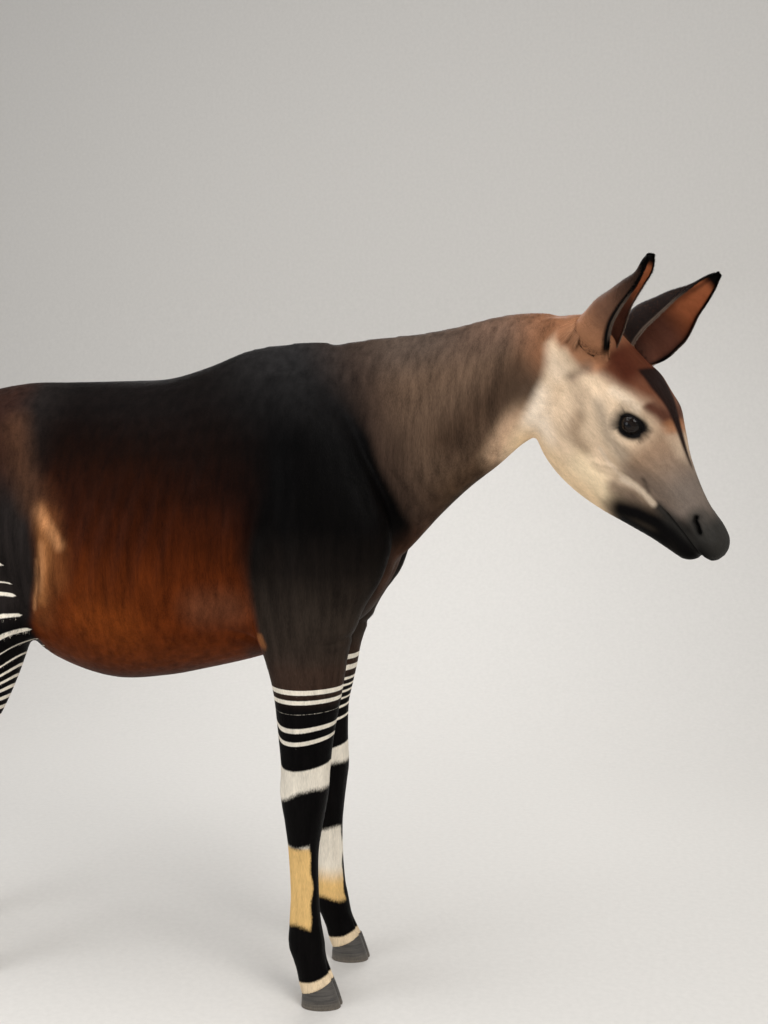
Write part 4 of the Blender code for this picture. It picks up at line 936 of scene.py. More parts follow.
def sculpted(skin):
    """Creases, veins, ribs, lips, nostrils and lids, cut and raised in the skin."""
    points = points_of(skin)
    head = to_head(points)
    normals = normals_of(skin)
    on_head = head_mask(points)
    height = line_height(points, BODY_LINES, 0.02) * (1 - on_head)
    ribs = np.sin((points[:, 0] - 0.25 * (points[:, 2] - 1.1)) * 2 * math.pi / 0.052)
    flank = smooth(points[:, 0], -0.50, -0.42) * (1 - smooth(points[:, 0], -0.16, -0.08))
    level = smooth(points[:, 2], 0.86, 1.00) * (1 - smooth(points[:, 2], 1.28, 1.40))
    height += 0.0015 * ribs * flank * level
    height += line_height(head, HEAD_LINES, 0.022) * on_head

    mouth, _ = line_distance(head[:, [0, 2]], MOUTH)
    line_z = np.interp(head[:, 0], [p[0] for p in MOUTH], [p[1] for p in MOUTH])
    start = smooth(head[:, 0], 0.355, 0.420)
    inside = on_head * start
    above = head[:, 2] - line_z
    height -= 0.0045 * np.exp(-((mouth / 0.0017) ** 2)) * inside
    height += 0.0014 * np.exp(-(((above - 0.0065) / 0.0045) ** 2)) * inside
    height += 0.0016 * np.exp(-(((above + 0.0065) / 0.0045) ** 2)) * inside

    nose, share = line_distance(head[:, [0, 2]], NOSTRIL_LINE)
    beside = smooth(np.abs(head[:, 1]), 0.018, 0.026) * on_head
    below = head[:, 2] - np.interp(head[:, 0], [p[0] for p in NOSTRIL_LINE],
                                   [p[1] for p in NOSTRIL_LINE])
    hole = 0.0026 + 0.0012 * share
    height -= 0.0085 * np.exp(-((nose / hole) ** 4)) * beside
    rim = 0.0022 * np.exp(-(((nose - 0.0062) / 0.0030) ** 2)) * beside
    height += rim * smooth(below, -0.002, 0.003)
    points = points + normals * height[:, None]
    points = lidded(points)
    set_points(skin, points)
    return skin


# A foot: front and back of the coronet, toe and heel, and the middle sideways.
Foot = namedtuple("Foot", "front back toe heel middle")


def foot(side, fore):
    row = LEG_OUTLINE[fore][-2]
    forward, outward = offsets(LEG_SET[fore][side], 0.03)
    toe = row.ax + forward + TOE
    heel = row.bx + forward + HEEL
    return Foot(toe - TOE_SLOPE, heel + HEEL_SLOPE, toe, heel, side * (row.side + outward))


def coronet_height(x, one):
    return CORONET_BACK + (CORONET_FRONT - CORONET_BACK) * (x - one.back) / (one.front - one.back)


def feet_tucked(skin):
    """Draws the end of each leg into its hoof, and parts the toes above it."""
    points = points_of(skin)
    for side, fore in LEGS:
        one = foot(side, fore)
        near = at_leg(points, side, fore) & (points[:, 2] < 0.16)
        level = coronet_height(points[:, 0], one)
        inside = smooth(level - points[:, 2], -0.001, 0.007) * near
        centre = np.array(((one.front + one.back) / 2 - 0.004, one.middle))
        points[:, :2] += (centre - points[:, :2]) * (0.30 * inside)[:, None]
        points[:, 2] += inside * np.maximum(level - 0.012 - points[:, 2], 0) * 0.9
        groove = np.exp(-(((points[:, 1] - one.middle) / 0.0045) ** 2)) * near
        groove *= (1 - smooth(points[:, 2] - level, 0.012, 0.060)) * (1 - inside)
        ahead = points[:, 0] - centre[0]
        points[:, 0] -= np.sign(ahead) * groove * 0.0060 * smooth(np.abs(ahead), 0.012, 0.024)
    set_points(skin, points)
    return skin


def inset(skin, depth):
    """Moves the skin in by the coat's depth, less on the face and feet."""
    points = points_of(skin)
    less = 1 - 0.6 * np.maximum(head_mask(points), leg_mask(points))
    set_points(skin, points - normals_of(skin) * (depth * less)[:, None])
    return skin


# An ear's mesh: for each point its share of the length, its turn from -1 to 1, whether it lies
# on the inner face and how far the foot flares; the rows and columns; and, for each column, the
# place and normal on the skull's skin that its foot runs out to.
EarMesh = namedtuple("EarMesh", "side points faces share turn inner flare along landing")


def ear_mesh(side, tree, rows=72, columns=56):
    """A thin cupped leaf with an outer and an inner face, whose foot runs out on the skull."""
    shares = -0.08 + 1.08 * np.linspace(0, 1, rows)
    turns = np.linspace(-1, 1, columns)
    outer, inner, flares, landing = [], [], [], []
    for share in shares:
        centre, ways = ear_section(side, share, turns)
        radial = ways / np.linalg.norm(ways, axis=1)[:, None]
        ripple = 0.0011 * np.sin(share * 21 + 2.4 * turns) * smooth(share, 0.1, 0.3)
        wall = EAR_WALL * (1 - 0.35 * max(share, 0.0)) * (1 - 0.62 * np.abs(turns) ** 6)
        ways = ways + radial * ripple[:, None]
        own = from_head(centre + ways)
        flare = 1 - float(smooth(share, -0.02, 0.17))
        if flare > 0:
            spread = from_head(centre + ways + radial * (EAR_FLARE * flare**1.4))
            for k in range(columns):
                near, normal, _, _ = tree.find_nearest(Vector(spread[k]))
                low = np.array(near - normal * (EAR_SINK * flare - 0.0022))
                if share == shares[0]:
                    landing.append((*(near + normal * 0.0015), *normal))
                own[k] += (low - own[k]) * flare**1.5
        outer.append(own)
        thick = np.minimum(wall, 0.4 * np.linalg.norm(ways, axis=1))
        inner.append(from_head(centre + ways - radial * thick[:, None]))
        flares.append(np.full(columns, flare))
    points = np.concatenate([*outer, *inner])
    offset = rows * columns
    faces = []
    for i in range(rows - 1):
        for j in range(columns - 1):
            a, b = i * columns + j, i * columns + j + 1
            c, d = a + columns, b + columns
            faces.append((a, b, d, c))
            faces.append((offset + a, offset + c, offset + d, offset + b))
    rim = [i * columns for i in range(rows)]
    rim += [(rows - 1) * columns + j for j in range(1, columns)]
    rim += [i * columns + columns - 1 for i in range(rows - 2, -1, -1)]
    rim += [j for j in range(columns - 2, 0, -1)]
    for a, b in zip(rim, rim[1:] + rim[:1]):
        faces.append((a, offset + a, offset + b, b))
    share = np.tile(np.repeat(shares, columns), 2)
    turn = np.tile(np.tile(turns, rows), 2)
    flare = np.tile(np.concatenate(flares), 2)
    is_inner = np.arange(2 * offset) >= offset
    middle = columns // 2 + (rows // 2) * columns
    a, b, d = points[[middle, middle + 1, middle + columns + 1]]
    if np.dot(np.cross(b - a, d - a), a - points[offset + middle]) < 0:
        faces = [face[::-1] for face in faces]
    return EarMesh(side, points, faces, share, turn, is_inner, flare, (rows, columns),
                   np.array(landing))


def tree_of(obj):
    return BVHTree.FromPolygons(
        [v.co.copy() for v in obj.data.vertices], [tuple(p.vertices) for p in obj.data.polygons]
    )


# Washes of colour over the coat, drawn in the side plane as x, z points: reach from that
# line, softness of the edge as a share of the reach, colour, strength, and between which
# distances from the middle line it shows.
Wash = namedtuple("Wash", "line reach soft colour strength low high", defaults=(0.0, 9.0))

BODY_WASHES = (
    Wash(((-0.40, 0.95), (-0.30, 0.92)), 0.10, 0.95, RUST, 0.5),
    Wash(((-0.41, 0.90), (-0.33, 0.88)), 0.060, 0.95, ORANGE, 0.45),
    # The flank's fold: painted highlight on it in broad, middle and bright bands, then painted
    # shadow along its crease.
    Wash(((-0.530, 1.19), (-0.500, 1.14)), 0.035, 1.0, FLANK_HIGHLIGHT_TOP, 0.6, 0.12),
    Wash(((-0.515, 1.115), (-0.490, 1.050), (-0.490, 1.000)), 0.042, 1.0, FLANK_HIGHLIGHT_BROAD, 0.85, 0.12),
    Wash(((-0.500, 1.00), (-0.530, 0.90)), 0.036, 1.0, FLANK_HIGHLIGHT_LOW, 0.8, 0.12),
    Wash(((-0.535, 1.150), (-0.508, 1.09), (-0.512, 1.03), (-0.528, 0.95)),
         0.023, 1.0, FLANK_HIGHLIGHT_MID, 0.85, 0.12),
    Wash(((-0.532, 1.150), (-0.500, 1.112), (-0.470, 1.072)), 0.015, 1.0, FLANK_HIGHLIGHT_BRIGHT, 0.8, 0.12),
    Wash(((-0.516, 1.07), (-0.514, 1.02), (-0.526, 0.97)), 0.012, 1.0, FLANK_HIGHLIGHT_BRIGHT, 0.55, 0.12),
    Wash(((-0.531, 1.035), (-0.536, 0.97), (-0.547, 0.92)), 0.0060, 1.0, FLANK_HIGHLIGHT_BRIGHT, 0.8, 0.12),
    Wash(((-0.522, 1.020), (-0.528, 0.97), (-0.541, 0.92)), 0.0045, 1.0, FLANK_FOLD_SHADOW, 0.6, 0.12),
    Wash(((-0.14, 0.93), (-0.08, 0.93)), 0.050, 0.95, GIRTH, 0.65),
    Wash(((-0.40, 1.42), (-0.20, 1.36), (-0.10, 1.20)), 0.085, 1.0, BACK_DARK, 0.45),
)
# Washes that go over the shoulder and the haunch too, and those of the neck.
LATE_WASHES = (
    Wash(((-0.012, 0.868), (-0.004, 0.850)), 0.010, 0.6, ELBOW, 0.7, 0.10),
    # Painted highlight down the front edge of the hip.
    Wash(((-0.620, 1.340), (-0.590, 1.250), (-0.548, 1.165)), 0.036, 1.0, HIP_HIGHLIGHT, 0.65, 0.10),
)
NECK_WASHES = (
    Wash(((0.405, 1.312), (0.472, 1.367), (0.517, 1.410), (0.545, 1.455)),
         0.050, 1.0, NECK_BAND, 0.8),
)

# Edges between the coat's large areas, drawn in the side plane as x, z points.
SHOULDER_EDGE = (
    (-0.010, 0.80), (-0.012, 0.86), (-0.032, 0.95), (-0.045, 1.05), (-0.050, 1.20), (-0.075, 1.35),
    (-0.110, 1.50), (-0.140, 1.56),
)
HAUNCH_EDGE = (
    (-0.585, 1.44), (-0.575, 1.373), (-0.560, 1.270), (-0.538, 1.141), (-0.532, 0.997),
    (-0.560, 0.90), (-0.60, 0.84),
)
NECK_EDGE = (
    (0.327, 1.050), (0.325, 1.100), (0.290, 1.180), (0.256, 1.250), (0.230, 1.320), (0.195, 1.417),
    (0.140, 1.511), (0.10, 1.58),
)
FACE_EDGE = (
    (0.520, 1.280), (0.552, 1.336), (0.590, 1.400), (0.616, 1.450), (0.621, 1.475), (0.622, 1.520),
    (0.660, 1.560), (0.720, 1.600),
)

# The head's washes, in its own frame.
HEAD_WASHES = (
    Wash(((0.000, -0.032), (0.045, -0.032)), 0.024, 0.9, CREAM, 0.7),
    Wash(((-0.004, 0.040), (0.020, 0.050), (0.070, 0.050)), 0.040, 0.45, EAR_FOOT, 0.95),
    Wash(((0.160, 0.036), (0.205, 0.052), (0.222, 0.054)), 0.012, 1.0, CREAM, 0.8),
    # Broad painted shadow round the cheek's hollow.
    Wash(((0.118, -0.030), (0.135, -0.070), (0.150, -0.100)), 0.026, 1.0, CHEEK_SOFT_SHADOW, 0.55),
    # Pale rear of the jaw with a painted highlight.
    Wash(((0.045, -0.100), (0.075, -0.135), (0.120, -0.160)), 0.032, 1.0, JAW_PALE_AND_LIT, 0.85),
    Wash(((0.162, -0.003), (0.198, -0.021), (0.230, -0.036), (0.268, -0.040)),
         0.020, 1.0, CHEEK_GREY, 0.8),
    # Painted shadow in the cheek's hollow.
    Wash(((0.148, -0.062), (0.162, -0.089), (0.184, -0.096), (0.201, -0.099)),
         0.020, 1.0, CHEEK_SHADOW, 0.8),
    Wash(((0.12, -0.21), (0.22, -0.20), (0.31, -0.17)), 0.055, 0.7, PEACH, 0.95),
    Wash(((0.217, -0.133), (0.273, -0.129), (0.315, -0.138)), 0.030, 0.9, JAW_SAND, 0.8),
    Wash(((0.300, -0.108), (0.338, -0.088)), 0.019, 1.0, LIP_BROWN, 0.8),
    Wash(((0.30, -0.060), (0.35, -0.040), (0.40, -0.040)), 0.024, 1.0, NOSE_SIDE, 0.65),
    Wash(((0.332, -0.158), (0.334, -0.128), (0.358, -0.100), (0.392, -0.080)),
         0.032, 1.0, LIP_BROWN, 0.7),
    Wash(((0.368, -0.152), (0.410, -0.134), (0.450, -0.112)), 0.034, 0.7, BLACK, 1.0),
    Wash(((0.344, -0.132), (0.372, -0.110), (0.412, -0.090), (0.455, -0.074), (0.52, -0.072)),
         0.036, 0.85, BLACK, 1.0),
    Wash(((0.430, -0.085), (0.452, -0.062), (0.470, -0.042)), 0.022, 1.0, BLACK, 0.8),
    Wash(((0.395, -0.062), (0.44, -0.060), (0.50, -0.062)), 0.015, 1.0, MUZZLE_DARK, 0.9),
    Wash(((0.46, -0.10), (0.52, -0.09)), 0.035, 0.4, BLACK, 0.9),
    Wash(((0.225, -0.072), (0.257, -0.080), (0.285, -0.078), (0.312, -0.070)),
         0.0060, 1.0, CREAM, 0.6),
    Wash(((0.300, -0.082), (0.330, -0.070), (0.353, -0.066), (0.380, -0.066)),
         0.0085, 0.9, CREAM, 0.9),
    # Painted shade in the small crease above the corner of the mouth.
    Wash(((0.334, -0.043), (0.345, -0.050), (0.355, -0.054)), 0.0070, 1.0, BLACK, 0.45),
    # Painted shadow in the notch below the ear's base.
    Wash(((0.074, -0.018), (0.078, 0.000), (0.084, 0.024)), 0.016, 1.0, EAR_NOTCH_SHADOW, 0.6),
    # Painted shadow behind the rear edge of the jaw.
    Wash(((0.012, -0.095), (0.026, -0.130), (0.044, -0.172)), 0.008, 1.0, JAW_EDGE_SHADOW, 0.5),
    Wash(((0.105, 0.078), (0.150, 0.078)), 0.027, 0.95, CHESTNUT, 1.0, 0.0, 0.085),
    Wash(((0.235, 0.071), (0.256, 0.072), (0.278, 0.068)), 0.0085, 0.9, BROW_BROWN, 0.95),
    # Painted highlight at the end of the brow.
    Wash(((0.282, 0.068), (0.292, 0.062)), 0.010, 1.0, BROW_HIGHLIGHT, 0.8),
    Wash(MOUTH[2:], 0.0040, 1.0, BLACK, 0.5),
    Wash(NOSTRIL_LINE, 0.020, 1.0, MUZZLE_DARK, 0.8, 0.012),
    # Painted shade inside the nostrils.
    Wash(NOSTRIL_LINE, 0.0070, 0.9, NOSTRIL_SHADOW, 1.0, 0.012),
)

# The lower edge of the forehead's brown, in the head's frame.
BROW_LINE = ((0.10, 0.030), (0.17, 0.053), (0.22, 0.066), (0.26, 0.062), (0.29, 0.054),
             (0.34, 0.036))


def washed(colour, points, washes):
    """Lays the washes over the colour, one after the other."""
    flat = points[:, [0, 2]]
    side = np.abs(points[:, 1])
    for wash in washes:
        away, _ = line_distance(flat, wash.line)
        mask = 1 - smooth(away, wash.reach * (1 - wash.soft), wash.reach * (1 + 0.6 * wash.soft))
        if wash.low > 0:
            mask = mask * smooth(side, wash.low - 0.006, wash.low + 0.006)
        if wash.high < 1:
            mask = mask * (1 - smooth(side, wash.high - 0.007, wash.high + 0.007))
        colour = mixed(colour, wash.colour, mask * wash.strength)
    return colour


def plain(colour, count):
    """The same colour for each of so many points."""
    return np.tile(np.array(colour), (count, 1))


def mixed(colour, other, mask):
    return colour + (np.asarray(other) - colour) * np.asarray(mask)[:, None]


def edge_side(points, edge):
    """How far ahead of an edge line, given by x at heights, each point lies."""
    line = sorted(edge, key=lambda p: p[1])
    return points[:, 0] - np.interp(points[:, 2], [p[1] for p in line], [p[0] for p in line])


def by_height(points, shades):
    """Colour of each point from a table of heights and colours."""
    heights = [row[0] for row in shades][::-1]
    parts = np.array([row[1] for row in shades])[::-1]
    return np.column_stack([np.interp(points[:, 2], heights, parts[:, k]) for k in range(3)])


def neck_colour(points):
    """Brown grey of the neck: paler along the crest, red behind the ears, pale at the throat."""
    crest = smooth(points[:, 2] - 0.25 * points[:, 0], 1.34, 1.44)
    neck = mixed(plain(TAUPE, len(points)), NECK_SIDE, crest)
    neck = mixed(neck, NECK_TOP, crest * smooth(points[:, 0], 0.34, 0.56))
    low = 1 - smooth(points[:, 2] - 0.75 * points[:, 0], 0.86, 1.00)
    neck = mixed(neck, NECK_LOW, low * 0.9)
    # Painted shadow along the foot of the neck, where it meets the shoulders.
    rim = 1 - smooth(points[:, 2] - 0.80 * points[:, 0], 0.805, 0.875)
    neck = mixed(neck, NECK_JOIN_SHADOW, rim * 0.9 * (1 - smooth(points[:, 0], 0.42, 0.52)))
    ahead = edge_side(points, NECK_EDGE)
    neck = mixed(neck, NECK_REAR, 1 - smooth(ahead, 0.0, 0.15))
    red = smooth(points[:, 0], 0.52, 0.64) * smooth(points[:, 2], 1.42, 1.50)
    neck = mixed(neck, BEHIND_EAR, 0.9 * red)
    neck = washed(neck, points, NECK_WASHES)
    under = smooth(edge_side(points, FACE_EDGE), -0.060, -0.006)
    under = under * (1 - smooth(points[:, 2], 1.34, 1.42))
    return mixed(neck, THROAT, 0.95 * under * smooth(points[:, 2], 1.22, 1.30))


def face_colour(head):
    """Pale cheeks, a dark diamond on the forehead, grey muzzle, black mouth and eye rings."""
    face = plain(CHEEK, len(head))
    over = head[:, 2] - np.interp(head[:, 0], *np.array(BROW_LINE).T)
    face = mixed(face, FOREHEAD, smooth(over, -0.022, 0.022) * (1 - smooth(head[:, 0], 0.27, 0.35)))
    upper = smooth(head[:, 2] + 0.16 * head[:, 0], -0.045, 0.010)
    face = mixed(face, FACE_FRONT,
                 smooth(head[:, 0], 0.24, 0.31) * upper * (1 - smooth(over, -0.01, 0.01)))
    face = mixed(face, MUZZLE, smooth(head[:, 0], 0.28, 0.41) * smooth(head[:, 2], -0.085, -0.055))
    face = mixed(face, MUZZLE_DARK, smooth(head[:, 0], 0.43, 0.50))
    face = washed(face, head, HEAD_WASHES)
    table = np.array(DIAMOND_WIDTH)
    inside = np.interp(head[:, 0], table[:, 0], table[:, 1]) - np.abs(head[:, 1])
    along = smooth(head[:, 0], 0.148, 0.160) * (head[:, 2] > 0.0)
    face = mixed(face, DIAMOND, smooth(inside, -0.007, 0.006) * along)
    for side in SIDES:
        face = mixed(face, LID, eye_ring(head, side))
    return face


def on_leg(points, fore):
    """1 on the fore or hind legs below the body and 0 on the belly between them."""
    x, y, z = points.T
    if fore:
        return smooth(x, -0.085, -0.060) * smooth(np.abs(y), 0.045, 0.060) * (z < 0.90)
    return np.where(z < 0.70, 1.0, smooth(-x, 0.555, 0.575)) * (x < MIDRIFF)


def coat_colour(points):
    """The coat's colour without its white leg markings, in the animal's frame."""
    z = points[:, 2]
    colour = washed(by_height(points, TRUNK_SHADES), points, BODY_WASHES)
    behind = -edge_side(points, HAUNCH_EDGE)
    low = smooth(z, 0.62, 0.78) * (points[:, 0] < MIDRIFF)
    soft = np.interp(z, (1.05, 1.20, 1.40), (0.016, 0.045, 0.12))
    colour = mixed(colour, HAUNCH, smooth(behind, -soft, soft) * low)
    colour = mixed(colour, HAUNCH_RED, 0.8 * smooth(behind, 0.0, 0.08) * smooth(z, 1.14, 1.28))
    over = edge_side(points, SHOULDER_EDGE)
    soft = np.interp(z, (0.86, 1.00, 1.15, 1.30), (0.010, 0.020, 0.060, 0.110))
    shoulder = smooth(over, -soft, soft) * smooth(z, 0.74, 0.82)
    # The shoulder's own near-black, with painted sheen at the withers and lower down.
    colour = mixed(colour, by_height(points, SHOULDER_SHADES_AND_SHEEN), shoulder)
    colour = washed(colour, points, LATE_WASHES)

    ahead = edge_side(points, NECK_EDGE)
    high = smooth(z, 1.30, 1.48)
    mask = smooth(ahead, -0.015 - 0.10 * high, 0.015 + 0.10 * high) * smooth(z, 0.98, 1.06)
    colour = mixed(colour, neck_colour(points), mask)
    breast = (1 - smooth(np.abs(points[:, 1]), 0.03, 0.09)) * smooth(points[:, 0], 0.18, 0.26)
    breast *= 1 - smooth(z, 1.05, 1.20)
    colour = mixed(colour, CHEST, 0.6 * breast * smooth(z, 0.80, 0.92))

    head = to_head(points)
    near = np.where(points[:, 0] > 0.4, 1.0, 0.0) * (z > 1.0)
    joint = smooth(edge_side(points, FACE_EDGE), -0.014, 0.022) * near
    crown = smooth(z, 1.545, 1.585) * (1 - smooth(head[:, 0], 0.03, 0.08))
    colour = mixed(colour, face_colour(head), joint * (1 - crown))

    fore, hind = on_leg(points, True), on_leg(points, False)
    colour = mixed(colour, FOREARM, fore * (1 - smooth(z, 0.78, 0.86)) * 0.9)
    colour = mixed(colour, BLACK, fore * (1 - smooth(z, 0.70, 0.76)))
    return mixed(colour, BLACK, hind * (1 - smooth(z, 0.86, 0.95)))


def eye_ring(head, side):
    """The dark skin round an eye."""
    x, z = along_eye(head[:, [0, 2]] - EYE_RING_CENTRE)
    measure = np.sqrt((x / EYE_RING_HALF[0]) ** 2 + (z / EYE_RING_HALF[1]) ** 2)
    return (1 - smooth(measure, 0.78, 1.16)) * (head[:, 1] * side > 0.02)


def leg_place(points, side, fore):
    """Angle round a leg from its front in degrees, and the distance from its axis."""
    rows = np.array(LEG_OUTLINE[fore])[::-1]
    level = (rows[:, 1] + rows[:, 3]) / 2
    forward, outward = offsets(LEG_SET[fore][side], points[:, 2])
    ahead = points[:, 0] - np.interp(points[:, 2], level, (rows[:, 0] + rows[:, 2]) / 2) - forward
    out = points[:, 1] * side - np.interp(points[:, 2], level, rows[:, 4]) - outward
    return np.degrees(np.arctan2(np.abs(out), ahead)), ahead, out


def stripe_phase(level, stripes):
    """Phase that is a half at each stripe's middle, and the stripes' half thickness in it."""
    table = np.array(stripes)[::-1]
    order = np.arange(len(stripes))[::-1] + 0.5
    gap = np.gradient(table[:, 0])
    top, bottom = table[-1, 0], table[0, 0]
    heights = np.concatenate([[bottom - gap[0] * 0.6], table[:, 0], [top + gap[-1] * 0.6]])
    thick = np.concatenate([[-0.3], table[:, 1] / gap, [-0.3]])
    phase = np.interp(level, table[:, 0], order)
    phase = np.where(level > top, order[-1] - (level - top) / gap[-1], phase)
    phase = np.where(level < bottom, order[0] + (bottom - level) / gap[0], phase)
    return phase, np.interp(level, heights, thick)


# The white areas of a leg: heights of the band above the knee or hock and of the shank's
# patch, the angle from the front where that patch starts, and how far down it the white
# turns to yellow.
Whites = namedtuple("Whites", "top bottom patch_top patch_bottom front yellow")
WHITES = {
    True: {
        RIGHT: Whites(0.567, 0.522, 0.379, 0.190, 46, (-0.02, 0.01)),
        LEFT: Whites(0.545, 0.512, 0.338, 0.158, 12, (0.09, 0.15)),
    },
    False: {
        RIGHT: Whites(0.586, 0.556, 0.405, 0.200, 55, (0.02, 0.05)),
        LEFT: Whites(0.590, 0.558, 0.408, 0.200, 55, (0.02, 0.14)),
    },
}

# How far forward the hind leg's stripes reach, by height: z, x.
HIND_STRIPE_ENDS = (
    (0.60, -0.55), (0.70, -0.56), (0.80, -0.560), (0.862, -0.568), (0.896, -0.586), (0.955, -0.600),
    (1.023, -0.628), (1.12, -0.76),
)


def fore_level(points, angle):
    """Height along a foreleg's stripes, which bow upwards towards its back."""
    z = points[:, 2]
    lift = np.interp(z, (0.50, 0.64, 0.70, 0.76), (0.014, 0.015, 0.008, 0.005))
    wave = lift * (1 - np.cos(np.radians(angle - 122)))
    wave += 0.016 * np.exp(-(((angle - 180) / 24) ** 2)) * (1 - smooth(z, 0.66, 0.72))
    wave -= 0.4 * lift
    return z - wave


def hind_level(points, forward):
    """Height along a hind leg's stripes, which lean more the lower they are."""
    z = points[:, 2]
    tilt = np.interp(z, (0.62, 0.78, 0.86, 0.93, 1.10), (0.35, 0.50, 0.26, -0.06, -0.16))
    level = z - tilt * (points[:, 0] - forward + 0.62)
    return level + 0.006 * np.sin(points[:, 0] * 26 + z * 9)


def hind_ends(points, thick, forward, out):
    """Half thickness of a hind leg's stripes once they end short of the flank."""
    heights, ends = zip(*HIND_STRIPE_ENDS)
    reach = np.interp(points[:, 2], heights, ends) + forward - points[:, 0]
    thick = np.minimum(thick, reach * 16.0)
    return np.where(out < -0.045, thick * 0.8, thick)


def leg_whites(points, side, fore, angle, level, forward):
    """How far inside the band, the shank's patch or the ring over the hoof each point lies."""
    whites = WHITES[fore][side]
    z = points[:, 2]
    if fore:
        top = whites.top - level
        bottom = z - whites.bottom + np.interp(angle, (50, 95, 130, 180),
                                               (0.0, 0.011, 0.028, 0.042))
    else:
        top = whites.top - (z + 0.10 * (points[:, 0] - forward + 0.80))
        bottom = z - whites.bottom + 0.012 * smooth(angle, 110, 175)
    band = np.minimum(top / 0.0030, bottom / 0.0100)
    edge = angle - whites.front - 7 * np.sin(z * 31 + 2) - 4 * np.sin(z * 83)
    edge = edge * math.radians(1) * 0.036
    bow = 0.005 * np.sin(np.radians(angle * 2.4))
    ends = np.minimum((whites.patch_top + bow - z) / 0.0095,
                      (z - whites.patch_bottom + bow) / 0.0095)
    patch = np.minimum(ends, edge / 0.0048)
    over = z - coronet_height(points[:, 0], foot(side, fore))
    hoof_ring = (0.022 + 0.010 * smooth(angle, 60, 150) - over) / 0.0040
    return np.maximum(np.maximum(band, patch), hoof_ring)


def leg_tint(points, whites):
    """How yellow the white is."""
    z = points[:, 2]
    yellow = smooth(whites.patch_top - z, *whites.yellow)
    return yellow * (z < whites.patch_top) * (z > 0.10) + 0.5 * (z < 0.10)


def leg_marks(points):
    """Phase and half thickness of the stripes, white areas, and the tint of the white."""
    count = len(points)
    phase, half = np.zeros(count), np.full(count, -1.0)
    white = np.full(count, -3.0)
    tint = np.zeros(count)
    for side, fore in LEGS:
        here = at_leg(points, side, fore) & (points[:, 2] < (0.82 if fore else 1.16))
        if fore:
            here &= on_leg(points, True) > 0.5
        own = points[here]
        angle, _, out = leg_place(own, side, fore)
        forward, _ = offsets(LEG_SET[fore][side], own[:, 2])
        level = fore_level(own, angle) if fore else hind_level(own, forward)
        phase[here], thick = stripe_phase(level, FORE_STRIPES[side] if fore else HIND_STRIPES)
        half[here] = thick if fore else hind_ends(own, thick, forward, out)
        white[here] = leg_whites(own, side, fore, angle, level, forward)
        tint[here] = leg_tint(own, WHITES[fore][side])
    return phase, half, np.clip(white, -3, 3), tint


def white_share(points):
    """How white the coat is at each point, from 0 to 1, and the white's colour."""
    phase, half, white, tint = leg_marks(points)
    away = np.abs(phase - np.floor(phase) - 0.5)
    stripe = smooth(half - away, -0.03, 0.03)
    pale = mixed(plain(LEG_WHITE, len(points)), LEG_CREAM, tint)
    return np.maximum(stripe, smooth(white, -0.8, 0.8)), pale


def marked_colour(points):
    share, pale = white_share(points)
    return mixed(coat_colour(points), pale, share)


def ear_colour(ear):
    """Colour of an ear by its length, its turn and its face: brown, red inside, black edges."""
    share, turn = ear.share, ear.turn
    count = len(share)
    outside = mixed(plain(EAR_BACK, count), EAR_FOOT, 1 - smooth(share, 0.08, 0.52))
    outside = mixed(outside, EAR_DARK, smooth(share, 0.45, 0.82) * 0.8)
    outside = mixed(outside, EAR_DARK, smooth(turn, 0.05, 0.45) * smooth(share, 0.02, 0.15))
    inside = mixed(plain(EAR_INNER, count), EAR_RED, smooth(share, 0.34, 0.62))
    inside = mixed(inside, EAR_DARK, (1 - smooth(share, 0.02, 0.20)) * 0.6)
    inside = mixed(inside, EAR_DARK, smooth(-turn, 0.70, 0.95) * 0.8)
    inside = mixed(inside, EAR_DARK, (1 - smooth(np.abs(turn - 0.1), 0.0, 0.30)) * 0.5)
    colour = np.where(ear.inner[:, None], inside, outside)
    colour = mixed(colour, BLACK, smooth(-turn, 0.84, 0.93) * smooth(share, 0.06, 0.16))
    # Pale rims along both edges: pale rim hair with painted light along the lit margins.
    rear_rim = smooth(-turn, 0.97, 0.999) * smooth(share, 0.2, 0.3)
    rear_rim = rear_rim * (1 - smooth(share, 0.60, 0.76))
    colour = mixed(colour, EAR_RIM_PALE_AND_LIT, rear_rim * 0.22)
    front_rim = smooth(turn, 0.970, 0.995) * (1 - smooth(share, 0.45, 0.80))
    colour = mixed(colour, EAR_RIM_PALE_AND_LIT, front_rim * 0.30)
    colour = mixed(colour, BLACK, smooth(share, 0.84, 0.93))
    return mixed(colour, coat_colour(ear.points), smooth(ear.flare, 0.30, 0.85) * ~ear.inner)


def float_attribute(mesh, name, values, kind="FLOAT"):
    """Stores a number, a vector or a colour at every point of the mesh."""
    made = mesh.attributes.new(name, kind, "POINT")
    values = np.asarray(values, float)
    if kind == "FLOAT_COLOR":
        values = np.column_stack([values, np.ones(len(values))])
    key = {"FLOAT": "value", "FLOAT_VECTOR": "vector", "FLOAT_COLOR": "color"}[kind]
    made.data.foreach_set(key, values.ravel())


